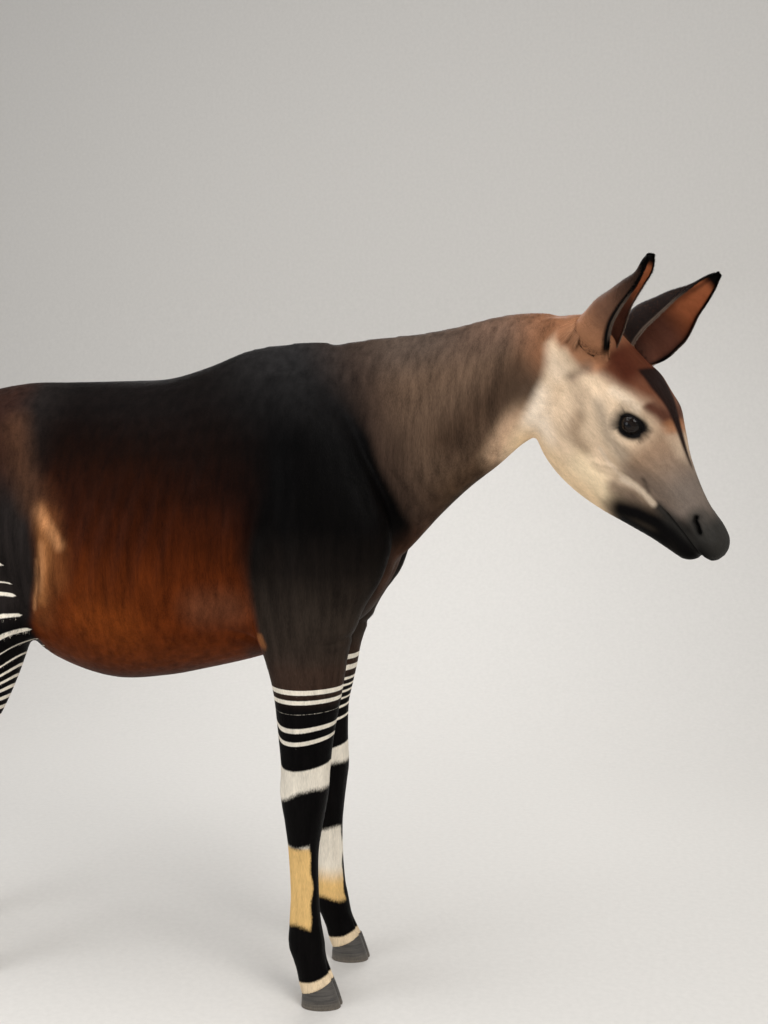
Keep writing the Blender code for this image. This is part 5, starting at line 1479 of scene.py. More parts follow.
def skin_whole():
    """The skin with ears and all its marks as attributes; also returns the ears' meshes."""
    skin = skin_surface()
    refined(skin, lambda p: (to_head(p)[:, 0] > -0.02) & (p[:, 0] > 0.55), 6)
    refined(skin, near_tail, 4)
    refined(skin, lambda p: p[:, 2] < 0.13, 3)
    refined(skin, around_face(0.006), 3)
    refined(skin, near_eyes, 3)
    inset(skin, COAT_DEPTH)
    feet_tucked(skin)
    sculpted(skin)
    tree = tree_of(skin)
    ears = {side: ear_mesh(side, tree) for side in SIDES}

    points = points_of(skin)
    colour = coat_colour(points)
    phase, half, white, tint = leg_marks(points)
    head = to_head(points)
    mask = head_mask(points)
    bare = np.maximum(eye_ring(head, RIGHT), eye_ring(head, LEFT)) * mask
    bare = np.maximum(bare, smooth(head[:, 0], 0.500, 0.535) * mask)
    nose, _ = line_distance(head[:, [0, 2]], NOSTRIL_LINE)
    bare = np.maximum(bare, (1 - smooth(nose, 0.006, 0.014)) * mask * (np.abs(head[:, 1]) > 0.012))
    faces = [tuple(p.vertices) for p in skin.data.polygons]
    arrays = [[points], [colour], [phase], [half], [white], [tint], [mask], [bare]]
    for side in SIDES:
        ear = ears[side]
        start = sum(len(part) for part in arrays[0])
        faces += [tuple(start + k for k in face) for face in ear.faces]
        count = len(ear.points)
        blank = np.zeros(count)
        rows = (ear.points, ear_colour(ear), blank, blank - 1, blank - 3, blank, blank + 1, blank)
        for part, row in zip(arrays, rows):
            part.append(row)
    points, colour, phase, half, white, tint, mask, bare = (np.concatenate(part) for part in arrays)
    bpy.data.objects.remove(skin)
    mesh = bpy.data.meshes.new("okapi_skin")
    mesh.from_pydata(points.tolist(), [], faces)
    whole = linked("okapi_skin", mesh)
    float_attribute(mesh, "coat", colour, "FLOAT_COLOR")
    float_attribute(mesh, "face", to_head(points), "FLOAT_VECTOR")
    for name, values in (
        ("phase", phase), ("half", half), ("white", white), ("tint", tint), ("head", mask),
        ("bare", bare),
    ):
        float_attribute(mesh, name, values)
    mesh.shade_smooth()
    return whole, ears


# How weakly the hair mirrors the studio's lights.
COAT_IOR = 1.3
COAT_SPECULAR = 0.06


class Nodes:
    """Short ways to add and join the nodes of one material."""

    def __init__(self, name):
        self.material = bpy.data.materials.new(name)
        self.material.use_nodes = True
        self.tree = self.material.node_tree
        self.shader = self.tree.nodes["Principled BSDF"]

    def add(self, kind, inputs=None, **settings):
        """A new node with its settings made and its inputs set or linked."""
        made = self.tree.nodes.new(kind)
        for key, value in settings.items():
            setattr(made, key, value)
        for key, value in (inputs or {}).items():
            self.put(made.inputs[key], value)
        return made

    def put(self, socket, value):
        if isinstance(value, bpy.types.NodeSocket):
            self.tree.links.new(value, socket)
        else:
            socket.default_value = value

    def feed(self, name, value):
        """Joins a socket to, or sets, one input of the shader."""
        self.put(self.shader.inputs[name], value)

    def attribute(self, name, output="Fac"):
        return self.add("ShaderNodeAttribute", attribute_name=name).outputs[output]

    def maths(self, operation, *values):
        made = self.add("ShaderNodeMath", operation=operation)
        for socket, value in zip(made.inputs, values):
            self.put(socket, value)
        return made.outputs[0]

    def noise(self, vector, scale, detail=3.0, rough=0.55):
        inputs = {"Vector": vector, "Scale": scale, "Detail": detail, "Roughness": rough}
        return self.add("ShaderNodeTexNoise", inputs).outputs["Fac"]

    def stretched(self, vector, scales):
        return self.add("ShaderNodeMapping", {"Vector": vector, "Scale": scales}).outputs["Vector"]

    def mix(self, share, one, other, kind="RGBA"):
        """One and the other in that share. The node has its own sockets for each kind of value."""
        made = self.add("ShaderNodeMix", data_type=kind)
        at = {"RGBA": (6, 7, 2), "FLOAT": (2, 3, 0)}[kind]
        self.put(made.inputs[0], share)
        self.put(made.inputs[at[0]], one)
        self.put(made.inputs[at[1]], other)
        return made.outputs[at[2]]

    def ranged(self, value, low, high, to_low=0.0, to_high=1.0, easy=False):
        made = self.add("ShaderNodeMapRange", {
            "Value": value, "From Min": low, "From Max": high, "To Min": to_low, "To Max": to_high,
        }, interpolation_type="SMOOTHSTEP" if easy else "LINEAR")
        return made.outputs["Result"]

    def scaled(self, colour, value):
        """The colour made lighter or darker by a factor."""
        made = self.add("ShaderNodeVectorMath", {0: colour}, operation="SCALE")
        self.put(made.inputs["Scale"], value)
        return made.outputs["Vector"]

    def preset(self, **values):
        """Sets inputs of the shader by name, with underscores for spaces."""
        for name, value in values.items():
            self.shader.inputs[name.replace("_", " ")].default_value = value

    def bump(self, height, strength, distance, under=None):
        made = self.add("ShaderNodeBump",
                        {"Height": height, "Strength": strength, "Distance": distance})
        if under is not None:
            self.put(made.inputs["Normal"], under)
        return made.outputs["Normal"]


def coat_noise(n, place, face, head):
    """Patterns that the skin and the hair share: single hairs, locks, and broad clouds."""
    body_hair = n.noise(n.stretched(place, (150, 150, 17)), 4.0, 3.0, 0.6)
    face_hair = n.noise(n.stretched(face, (26, 170, 170)), 4.0, 3.0, 0.6)
    body_lock = n.noise(n.stretched(place, (34, 34, 4.4)), 1.5, 4.0, 0.62)
    face_lock = n.noise(n.stretched(face, (9, 40, 40)), 1.6, 4.0, 0.6)
    cloud = n.noise(place, 7.0, 3.0, 0.5)
    hair = n.mix(head, body_hair, face_hair, "FLOAT")
    lock = n.mix(head, body_lock, face_lock, "FLOAT")
    return hair, lock, cloud


def streaks(n, hair, lock, cloud, head):
    """How much lighter or darker the coat is, stronger on the body than on the face."""
    fine = n.maths("MULTIPLY", n.maths("SUBTRACT", hair, 0.5), n.mix(head, 1.10, 0.65, "FLOAT"))
    broad = n.maths("MULTIPLY", n.maths("SUBTRACT", lock, 0.5), n.mix(head, 1.75, 0.60, "FLOAT"))
    shade = n.maths("MAXIMUM", n.maths("ADD", 1.0, n.maths("ADD", fine, broad)), 0.25)
    return n.maths("MULTIPLY", shade, n.ranged(cloud, 0.25, 0.75, 0.86, 1.14))


def skin_material():
    """Short glossy coat: its colours, crisp white stripes, and hair streaks along its lie."""
    n = Nodes("coat_skin")
    place = n.add("ShaderNodeTexCoord").outputs["Object"]
    face = n.attribute("face", "Vector")
    head = n.attribute("head")
    hair, lock, cloud = coat_noise(n, place, face, head)

    ragged = n.noise(n.stretched(place, (150, 150, 60)), 3.0, 2.0, 0.6)
    drift = n.maths("SUBTRACT", ragged, 0.5)
    away = n.maths("ABSOLUTE", n.maths("SUBTRACT", n.maths("FRACT", n.attribute("phase")), 0.5))
    inside = n.maths("SUBTRACT", n.attribute("half"), away)
    inside = n.maths("ADD", inside, n.maths("MULTIPLY", drift, 0.10))
    stripe = n.ranged(inside, -0.035, 0.035, easy=True)
    area = n.maths("ADD", n.attribute("white"), n.maths("MULTIPLY", drift, 1.6))
    white = n.maths("MAXIMUM", stripe, n.ranged(area, -0.8, 0.8, easy=True))
    pale = n.mix(n.attribute("tint"), (*LEG_WHITE, 1), (*LEG_CREAM, 1))
    colour = n.mix(white, n.attribute("coat", "Color"), pale)

    calm = n.maths("MAXIMUM", head, n.maths("MULTIPLY", white, 0.9))
    n.feed("Base Color", n.scaled(colour, streaks(n, hair, lock, cloud, calm)))

    bare = n.attribute("bare")
    rough = n.maths("ADD", n.ranged(hair, 0.2, 0.8, 0.56, 0.44),
                    n.ranged(lock, 0.3, 0.7, 0.05, -0.05))
    n.feed("Roughness", n.mix(bare, rough, 0.46, "FLOAT"))
    n.preset(IOR=COAT_IOR, Specular_IOR_Level=COAT_SPECULAR)

    pores = n.noise(face, 900.0, 2.0, 0.5)
    low = n.bump(lock, 0.35, 0.0030)
    fine = n.bump(n.mix(bare, hair, pores, "FLOAT"), 0.55, 0.0011, low)
    n.feed("Normal", fine)
    return n.material


def fur_material(name, rough=0.5):
    """Hair of the coat pieces: the colour comes with each lock, the streaks are the skin's."""
    n = Nodes(name)
    place = n.add("ShaderNodeTexCoord").outputs["Object"]
    head = n.attribute("head")
    hair, lock, cloud = coat_noise(n, place, n.attribute("face", "Vector"), head)
    shade = streaks(n, hair, lock, cloud, head)
    n.feed("Base Color", n.scaled(n.attribute("coat", "Color"), shade))
    n.feed("Roughness", n.ranged(hair, 0.25, 0.75, rough + 0.08, rough - 0.06))
    n.preset(IOR=COAT_IOR, Specular_IOR_Level=COAT_SPECULAR)
    return n.material


def eye_material():
    """Wet dark eye: brown iris with a long level pupil under a clear glossy coat."""
    n = Nodes("eye_wet")
    gaze = n.attribute("gaze", "Vector")
    parts = n.add("ShaderNodeSeparateXYZ", {"Vector": gaze}).outputs
    along = n.maths("DIVIDE", parts["X"], 0.42)
    across = n.maths("DIVIDE", parts["Z"], 0.17)
    pupil, off = (
        n.maths("POWER", n.maths("ADD", n.maths("POWER", x, 2.0), n.maths("POWER", z, 2.0)), 0.5)
        for x, z in ((along, across), (parts["X"], parts["Z"]))
    )
    fibres = n.noise(n.stretched(gaze, (30, 30, 30)), 2.0, 4.0, 0.7)
    iris = n.mix(n.ranged(fibres, 0.3, 0.7), *((*tone, 1) for tone in IRIS))
    colour = n.mix(n.ranged(pupil, 0.92, 1.12, easy=True), (*PUPIL, 1), iris)
    colour = n.mix(n.ranged(off, 0.66, 0.80, easy=True), colour, (*EYE_WHITE, 1))
    n.feed("Base Color", colour)
    n.feed("Roughness", n.ranged(fibres, 0.3, 0.7, 0.10, 0.16))
    n.preset(Specular_IOR_Level=0.1, Coat_Weight=0.16, Coat_Roughness=0.03)
    return n.material


def horn_material():
    """Grey horn of the hooves with growth rings, scuffs and dust towards the sole."""
    n = Nodes("hoof_horn")
    place = n.add("ShaderNodeTexCoord").outputs["Object"]
    height = n.add("ShaderNodeSeparateXYZ", {"Vector": place}).outputs["Z"]
    rings = n.noise(n.stretched(place, (14, 14, 260)), 1.6, 3.0, 0.6)
    grain = n.noise(n.stretched(place, (420, 420, 60)), 1.5, 3.0, 0.6)
    colour = n.mix(n.ranged(rings, 0.3, 0.7), *((*tone, 1) for tone in HORN))
    dust = n.maths("MULTIPLY", n.ranged(height, 0.022, 0.0, 0.0, 0.6), grain)
    colour = n.mix(dust, colour, (*DUST, 1))
    n.feed("Base Color", n.scaled(colour, n.ranged(grain, 0.3, 0.7, 0.85, 1.15)))
    n.feed("Roughness", n.ranged(grain, 0.3, 0.7, 0.42, 0.62))
    n.feed("Normal", n.bump(rings, 0.5, 0.0012, n.bump(grain, 0.3, 0.0006)))
    return n.material


def eyeball(side):
    """A finer eye whose cornea bulges a little, with the gaze stored for its material."""
    bm = bmesh.new()
    bmesh.ops.create_uvsphere(bm, u_segments=64, v_segments=40, radius=1.0)
    mesh = bpy.data.meshes.new("eye")
    bm.to_mesh(mesh)
    bm.free()
    x, y, z = np.array([v.co for v in mesh.vertices]).T
    local = np.column_stack([x, z, -y])
    bulge = 1 + 0.035 * np.exp(-((1 - local[:, 1]) / 0.10) ** 2)
    cos, sin = math.cos(EYE_TILT), math.sin(EYE_TILT)
    size = (EYE_RADIUS - 0.0006) * bulge
    x = (local[:, 0] * cos - local[:, 2] * sin) * size
    z = (local[:, 0] * sin + local[:, 2] * cos) * size
    points = np.column_stack([x, local[:, 1] * size * side, z]) + eye_centre(side)
    mesh.vertices.foreach_set("co", from_head(points).ravel())
    obj = linked("eyeball_" + side_name(side), mesh)
    if side == RIGHT:
        mesh.flip_normals()
    float_attribute(mesh, "gaze", local, "FLOAT_VECTOR")
    mesh.shade_smooth()
    return obj


def side_name(side):
    return "right" if side == RIGHT else "left"


def hoof(side, inner, fore):
    """One claw: a wall with growth rings that narrows to the toe and stands on its sole."""
    one = foot(side, fore)
    out = -side if inner else side
    inner_face = CLEFT / 2 + 0.0004
    rings = []
    levels = [0.0, 0.0, 0.03] + [0.03 + 0.97 * k / 13 for k in range(1, 14)] + [1.0]
    tucks = [0.80, 0.985, 1.0] + [1.0] * 13 + [0.86]
    for level, tuck in zip(levels, tucks):
        front = one.toe + (one.front - one.toe) * level
        back = one.heel + (one.back - one.heel) * level
        half = (front - back) / 2
        grown = 1 + 0.006 * math.sin(level * 40)
        spread = (1 - 0.03 * level - 0.04 * level**2) * grown
        row = []
        for j in range(30):
            angle = math.pi * (j / 29 - 0.5)
            x = (front + back) / 2 + half * tuck * math.sin(angle)
            toe = (math.sin(angle) + 1) / 2
            wide = HOOF_WIDTH * spread * max(math.cos(angle), 0.0) ** 0.55 * (1 - 0.30 * toe**3)
            row.append((x, inner_face + max(wide * tuck, 0.0030)))
        for j in range(10):
            x = front + (back - front) * (j + 0.5) / 10
            row.append((x, inner_face))
        rings.append([
            np.array((x, one.middle + out * y, level * (coronet_height(x, one) + 0.0015)))
            for x, y in row
        ])
    points, faces = grid_mesh(rings)
    end = "fore" if fore else "hind"
    name = f"claw_{end}_{side_name(side)}_{'inner' if inner else 'outer'}"
    obj = mesh_object(name, points, faces)
    obj.data.shade_smooth()
    obj.data.set_sharp_from_angle(angle=math.radians(60))
    return obj


def tangent(ways, normals):
    """The ways laid down along the surface, as unit vectors."""
    flat = ways - normals * (ways * normals).sum(axis=1)[:, None]
    return flat / np.maximum(np.linalg.norm(flat, axis=1), 1e-9)[:, None]


def triangles_of(obj):
    mesh = obj.data
    mesh.calc_loop_triangles()
    return read(mesh.loop_triangles, "vertices", 3, np.int64)


def scattered(points, normals, triangles, density, count, rng):
    """Random places on the surface, spread by the density, with their normals."""
    a, b, c = (points[triangles[:, k]] for k in range(3))
    area = np.linalg.norm(np.cross(b - a, c - a), axis=1) / 2
    weight = area * density((a + b + c) / 3)
    pick = rng.choice(len(triangles), size=count, p=weight / weight.sum())
    u, v = rng.random((2, count))
    fold = u + v > 1
    u, v = np.where(fold, 1 - u, u), np.where(fold, 1 - v, v)
    place = a[pick] + (b - a)[pick] * u[:, None] + (c - a)[pick] * v[:, None]
    p, q, r = (normals[triangles[pick, k]] for k in range(3))
    normal = p + (q - p) * u[:, None] + (r - p) * v[:, None]
    return place, normal / np.linalg.norm(normal, axis=1)[:, None]


def hair_lie(points):
    """The way the coat lies: back and down on the body, down the legs, up the face."""
    way = plain((-0.35, 0.0, -1.0), len(points))
    top = smooth(points[:, 2], 1.30, 1.46) * (points[:, 0] < 0.5)
    way = mixed(way, (-1.0, 0.0, -0.35), top)
    legs = 1 - smooth(points[:, 2], 0.70, 0.86)
    way = mixed(way, (0.0, 0.0, -1.0), legs)
    head = to_head(points)
    on = head_mask(points)
    over = plain((-1.0, 0.0, 0.0), len(points))
    over[:, 2] = -0.7 * smooth(-head[:, 2], -0.03, 0.06)
    return mixed(way, turned_from_head(over), on)


def unwrapped(points):
    """Place of each root on an unwrap of the body's shape: along it and round it."""
    x, y, z = points.T
    head = to_head(points)
    on_head = head_mask(points) > 0.5
    legs = z < 0.80
    trunk_angle = np.arctan2(y, z - 1.12) / (2 * math.pi) + 0.5
    trunk = np.column_stack([0.02 + 0.50 * (x + 1.10) / 1.75, 0.52 + 0.46 * trunk_angle])
    face_angle = np.arctan2(head[:, 1], head[:, 2] + 0.04) / (2 * math.pi) + 0.5
    face = np.column_stack([0.55 + 0.43 * (head[:, 0] + 0.10) / 0.70, 0.52 + 0.46 * face_angle])
    uv = np.where(on_head[:, None], face, trunk)
    for k, (side, fore) in enumerate(LEGS):
        _, ahead, out = leg_place(points, side, fore)
        around = np.arctan2(out, ahead) / (2 * math.pi) + 0.5
        strip = np.column_stack([0.02 + 0.245 * k + 0.21 * around, 0.02 + 0.46 * z / 0.80])
        uv = np.where((legs & at_leg(points, side, fore))[:, None], strip, uv)
    return np.clip(uv, 0.002, 0.996)


# How deep a lock's root lies in the skin, and the side of its patch on the bake map.
ROOT_DEPTH = 0.0005
PATCH = 0.0030


def lock_faces(steps):
    """Triangles of one lock: its foot, three sides a step, and its tip, all wound outwards."""
    faces = [(2, 1, 0)]
    sides = ((0, 1), (1, 2), (2, 0))
    for k in range(steps - 1):
        low, high = 3 * k, 3 * k + 3
        for i, j in sides:
            faces += [(low + i, low + j, high + i), (high + i, low + j, high + j)]
    low, tip = 3 * (steps - 1), 3 * steps
    return np.array(faces + [(low + i, low + j, tip) for i, j in sides])


def locks(name, root, normal, along, length, width, lift, colour, curl=0.0, steps=2,
          thick=0.35, sway=None, facing=None):
    """A mesh of flat, pointed locks, one at each root; lift and curl are slopes off the skin.

    Each lock's patch on the bake map is at its root's place. Facing is the way that a lock is
    shaded as if it looked, for locks that lie in the coat.
    """
    count = len(root)
    along = tangent(along, normal)
    across = np.cross(normal, along)
    length, width, lift = (np.broadcast_to(v, count)[:, None] for v in (length, width, lift))
    sway = np.zeros((count, 1)) if sway is None else sway[:, None]
    points, patches = [], []
    for k in range(steps):
        share = k / steps
        rise = length * (lift * share - curl * share**2) - ROOT_DEPTH * (1 - share)
        centre = root + along * length * share + normal * rise + across * (sway * length * share**2)
        wide = width * (1 - share) ** 0.7
        points += [centre - across * wide, centre + across * wide, centre + normal * wide * thick]
        patches += [(PATCH * share, PATCH * v) for v in (0.0, 1.0, 0.5)]
    rise = length * (lift - curl)
    points.append(root + along * length + normal * rise + across * sway * length)
    patches.append((PATCH, PATCH * 0.5))
    each = len(points)
    points = np.stack(points, axis=1).reshape(-1, 3)
    faces = (lock_faces(steps)[None] + each * np.arange(count)[:, None, None]).reshape(-1)
    mesh = bpy.data.meshes.new(name)
    mesh.vertices.add(len(points))
    mesh.vertices.foreach_set("co", points.ravel())
    mesh.loops.add(len(faces))
    mesh.loops.foreach_set("vertex_index", faces.astype(np.int32))
    mesh.polygons.add(len(faces) // 3)
    mesh.polygons.foreach_set("loop_start", np.arange(0, len(faces), 3, dtype=np.int32))
    mesh.update(calc_edges=True)
    spots = (unwrapped(root)[:, None, :] + np.array(patches)[None]).reshape(-1, 2)
    mesh.uv_layers.new(name="OFBake").data.foreach_set("uv", spots[faces].ravel())
    float_attribute(mesh, "coat", np.repeat(colour, each, axis=0), "FLOAT_COLOR")
    float_attribute(mesh, "face", np.repeat(to_head(root), each, axis=0), "FLOAT_VECTOR")
    float_attribute(mesh, "head", np.repeat(head_mask(root), each))
    mesh.shade_smooth()
    if facing is not None:
        mesh.normals_split_custom_set_from_vertices(np.repeat(facing, each, axis=0).tolist())
    return linked(name, mesh)


def varied(colour, rng, amount=0.10):
    """The colours, each a little lighter or darker."""
    return colour * np.exp(rng.normal(0, amount, len(colour)))[:, None]


def coated(obj, material=None):
    obj.data.materials.append(material or FUR)
    return obj


def near_line(points, line, reach):
    """1 close to a line in the side plane, 0 beyond its reach."""
    away, _ = line_distance(points[:, [0, 2]], line)
    return 1 - smooth(away, 0.4 * reach, reach)


def front_edge(stations):
    return [(s.ax, s.az) for s in stations]


def back_edge(stations):
    return [(s.bx, s.bz) for s in stations]


# Where the coat breaks the outline, each with how wide: the crest of the neck, its throat, the
# belly, the back, the rear of the thigh, the elbow and the flank.
RAGGED_LINES = (
    (front_edge(NECK[1:]), 0.030),
    (back_edge(NECK[2:]), 0.040),
    (back_edge(TRUNK[4:]), 0.045),
    (front_edge(TRUNK[2:-2]), 0.030),
    (back_edge(HIND_LEG[2:8]), 0.040),
    (((-0.05, 1.0), (-0.03, 0.90), (-0.01, 0.83)), 0.035),
    (((-0.53, 1.0), (-0.57, 0.88), (-0.62, 0.82)), 0.035),
)


def ragged_places(points):
    """1 where the coat breaks the outline, on the body and along the jaw."""
    jaw = near_line(to_head(points), back_edge(JAW[1:9]), 0.025) * head_mask(points)
    return np.max([near_line(points, line, reach) for line, reach in RAGGED_LINES] + [jaw], axis=0)


def on_trunk(points):
    return (points[:, 2] > 0.80) & (points[:, 0] < 0.26)


def on_neck(points):
    return (points[:, 0] > 0.16) & (head_mask(points) < 0.5) & (points[:, 2] > 0.95)


def on_face(points):
    head = to_head(points)
    return (head_mask(points) > 0.4) & ~near_eyes(points) & (head[:, 0] < 0.49)


def on_shank(points):
    return (points[:, 2] < 0.86) & (points[:, 2] > 0.04) & (np.abs(points[:, 1]) > 0.05)


# Half the width of the hair of the ears and lashes.
FINE_HAIR = 0.00035

# Coat pieces: name, number of locks, where they are, length, half the width, and slot.
Coat = namedtuple("Coat", "name count where length width slot")
COATS = (
    Coat("coat_trunk", 48000, on_trunk, 0.0115, 0.00055, "body_coat"),
    Coat("coat_neck", 46000, on_neck, 0.0105, 0.00050, "neck_coat"),
    Coat("coat_head", 46000, on_face, 0.0055, 0.00036, "head_coat"),
    Coat("coat_legs", 48000, on_shank, 0.0060, 0.00045, "leg_coat"),
)


def body_coat(skin, rng):
    """Short fine tufts all over, which lie flat and stand out a little where the form breaks."""
    points, normals, triangles = points_of(skin), normals_of(skin), triangles_of(skin)
    made = []
    for coat in COATS:
        def density(places):
            return coat.where(places) * (0.45 + 1.2 * ragged_places(places))

        place, normal = scattered(points, normals, triangles, density, coat.count, rng)
        ragged = ragged_places(place)
        lie = hair_lie(place) + rng.normal(0, 0.09, (coat.count, 3))
        length = coat.length * rng.uniform(0.7, 1.3, coat.count)
        width = coat.width * rng.uniform(0.7, 1.2, coat.count)
        lift = rng.uniform(0.012, 0.040, coat.count) + 0.018 * ragged
        colour = varied(marked_colour(place), rng)
        made.append(coated(locks(
            coat.name, place, normal, lie, length, width, lift, colour, curl=0.02, steps=1,
            thick=0.3, facing=normal,
        )))
    return made


def fringe(name, start, normal, way, length, colour, rng, lift, curl, steps, spread):
    """Longer hair whose roots and ways are given, with its own uneven lengths."""
    count = len(start)
    return coated(locks(
        name, start, normal,
        way + rng.normal(0, spread, (count, 3)) * np.linalg.norm(way, axis=1)[:, None],
        length * rng.uniform(0.6, 1.25, count), FINE_HAIR * rng.uniform(0.7, 1.2, count),
        lift * rng.uniform(0.3, 1.6, count), varied(colour, rng), curl=curl, steps=steps,
        sway=rng.normal(0, 0.12, count),
    ))


def unit(ways):
    return ways / np.maximum(np.linalg.norm(ways, axis=-1), 1e-9)[..., None]


def ear_grid(ear, values, inner=False):
    """The values of one face of an ear, by row and column."""
    rows, columns = ear.along
    half = rows * columns
    return (values[half:] if inner else values[:half]).reshape(rows, columns, -1)


def ear_surface_hair(ear, colours, rng):
    """Fine short hair on the outer face of an ear and a little longer hair in its cup."""
    rows, columns = ear.along
    each = 3
    starts, ways, norms, tones, lengths = [], [], [], [], []
    outer, inner = ear_grid(ear, ear.points), ear_grid(ear, ear.points, True)
    for in_cup, first, long in ((False, 8, 0.0062), (True, 9, 0.0085)):
        face = inner if in_cup else outer
        i = np.repeat(np.arange(first, rows - 3), (columns - 3) * each)
        j = np.tile(np.repeat(np.arange(1, columns - 2), each), rows - 3 - first)
        u, v = rng.random((2, len(i), 1))
        up = face[i + 1, j] - face[i, j]
        across = face[i, j + 1] - face[i, j]
        starts.append(face[i, j] + up * u + across * v)
        ways.append(unit(up))
        norms.append(unit(outer[i, j] - inner[i, j]) * (-1 if in_cup else 1))
        tones.append(ear_grid(ear, colours, in_cup)[i, j])
        lengths.append(np.full(len(i), long))
    start, way, normal = np.concatenate(starts), np.concatenate(ways), np.concatenate(norms)
    count = len(start)
    return coated(locks(
        "ear_hair_" + side_name(ear.side), start, normal, way + rng.normal(0, 0.14, (count, 3)),
        np.concatenate(lengths) * rng.uniform(0.7, 1.3, count),
        FINE_HAIR * rng.uniform(0.7, 1.2, count),
        rng.uniform(0.02, 0.07, count), varied(np.concatenate(tones), rng, 0.16), curl=0.02,
        steps=1, facing=normal,
    ))


def ear_fringe(ear, colours, rng):
    """The fringe along both rims of an ear and round its tip."""
    rows, columns = ear.along
    outer, tone = ear_grid(ear, ear.points), ear_grid(ear, colours)
    starts, ways, norms, tones, lengths = [], [], [], [], []
    for edge, inside in ((0, 2), (columns - 1, columns - 3)):
        i = np.repeat(np.arange(9, rows - 1), 60)
        t = rng.random((len(i), 1))
        off = unit(outer[i, edge] - outer[i, inside])
        up = unit(outer[i + 1, edge] - outer[i, edge])
        rim = outer[i, edge] * (1 - t) + outer[i + 1, edge] * t
        starts.append(rim + rng.normal(0, 0.0005, (len(i), 3)))
        ways.append(up + off * rng.uniform(0.0, 0.7, (len(i), 1)))
        norms.append(unit(np.cross(up, off)) * rng.choice((-1.0, 1.0), (len(i), 1)))
        tones.append(tone[i, edge])
        lengths.append(np.full(len(i), 0.0070))
    j = np.repeat(np.arange(columns), 9)
    up = unit(outer[-1, j] - outer[-4, j])
    starts.append(outer[-1, j] + rng.normal(0, 0.0006, (len(j), 3)))
    ways.append(up)
    norms.append(unit(np.cross(up, rng.normal(0, 1, (len(j), 3)))))
    tones.append(tone[-1, j])
    lengths.append(np.full(len(j), 0.0035))
    start, normal, way = np.concatenate(starts), np.concatenate(norms), np.concatenate(ways)
    return fringe(
        "ear_fringe_" + side_name(ear.side), start, normal, way, np.concatenate(lengths),
        np.concatenate(tones), rng, lift=0.10, curl=0.05, steps=2, spread=0.12,
    )


def ear_foot_hair(ear, rng, count=2600):
    """Longer hair from the rear of an ear's foot, which lies out over the skin round it."""
    outer = ear_grid(ear, ear.points)
    behind = to_head(ear.landing[:, :3])[:, 0] < EAR_BASE[ear.side].x - 0.006
    i, j = rng.integers(8, 15, count), rng.choice(np.flatnonzero(behind[:-1]), count)
    t = rng.random((count, 1))
    start = outer[i, j] * (1 - t) + outer[i - 1, j] * t
    aim, normal = ear.landing[j, :3], ear.landing[j, 3:]
    away = aim - start
    reach = np.linalg.norm(away, axis=1)
    colour = mixed(plain(EAR_FOOT, count), coat_colour(aim), rng.uniform(0.0, 1.0, count))
    way = away / reach[:, None] + rng.normal(0, 0.12, (count, 3))
    length = reach * rng.uniform(0.5, 1.1, count)
    width = 0.00045 * rng.uniform(0.7, 1.2, count)
    lift = (away * normal).sum(axis=1) / reach + 0.06
    return coated(locks(
        "ear_foot_" + side_name(ear.side), start, normal, way, length, width, lift,
        varied(colour, rng, 0.16), curl=0.03, steps=3, facing=normal,
    ))


def ear_hair(ears, rng):
    """The hair on both ears, their fringes and the hair at their feet."""
    made = []
    for side in SIDES:
        colours = ear_colour(ears[side])
        made.append(ear_surface_hair(ears[side], colours, rng))
        made.append(ear_fringe(ears[side], colours, rng))
        made.append(ear_foot_hair(ears[side], rng))
    return made


def tail_hair(rng, count=3400):
    """The black brush at the tail's end, with long fine locks down to their tips."""
    starts, ways, norms = [], [], []
    for _ in range(count):
        down = rng.random() ** 0.8
        share = TUFT_START - 0.10 + 0.30 * down
        angle = rng.uniform(0, 2 * math.pi)
        out = np.array((math.cos(angle), math.sin(angle), 0.0))
        radius = 0.012 * (1 - 0.6 * down)
        starts.append(np.array(tail_point(share)) + out * radius)
        ways.append(np.array((-0.03, 0.0, -1.0)) + out * rng.uniform(0.0, 0.16))
        norms.append(out)
    length = TUFT_LENGTH * rng.uniform(0.35, 0.78, count)
    obj = locks(
        "tail_brush", np.array(starts), np.array(norms), np.array(ways), length, 0.0011, 0.05,
        varied(plain(BLACK, count), rng, 0.3), curl=0.10, steps=5,
        sway=rng.normal(0, 0.06, count),
    )
    return coated(obj, FUR_LONG)


def lashes(rng):
    """Black lashes along the upper lids, and a few below."""
    starts, ways, norms, lengths = [], [], [], []
    cos, sin = math.cos(EYE_TILT), math.sin(EYE_TILT)
    for side in SIDES:
        centre = eye_centre(side)
        for upper, count in ((True, 90), (False, 36)):
            opening = EYE_OPENING[1] if upper else -EYE_OPENING[2]
            for _ in range(count):
                t = rng.uniform(-0.85, 0.85)
                sweep = EYE_OPENING[0] * t
                up = opening * (1 - abs(t) ** LID_POWER) ** (1 / LID_POWER) * 1.03
                x, z = math.sin(sweep) * math.cos(up), math.sin(up)
                y = math.cos(sweep) * math.cos(up)
                out = np.array((x * cos - z * sin, side * y, x * sin + z * cos))
                rise = np.array((-sin, 0.0, cos)) * (1 if upper else -1)
                starts.append(from_head([centre + out * EYE_RADIUS * 1.07])[0])
                norms.append(turned_from_head([rise])[0])
                ways.append(turned_from_head([out + rise * 0.3 + np.array((0.3 * t, 0, 0))])[0])
                lengths.append(0.011 if upper else 0.004)
    return fringe(
        "eyelashes", np.array(starts), np.array(norms), np.array(ways), np.array(lengths),
        plain(BLACK, len(starts)), rng, lift=0.15, curl=-0.25, steps=4, spread=0.08,
    )


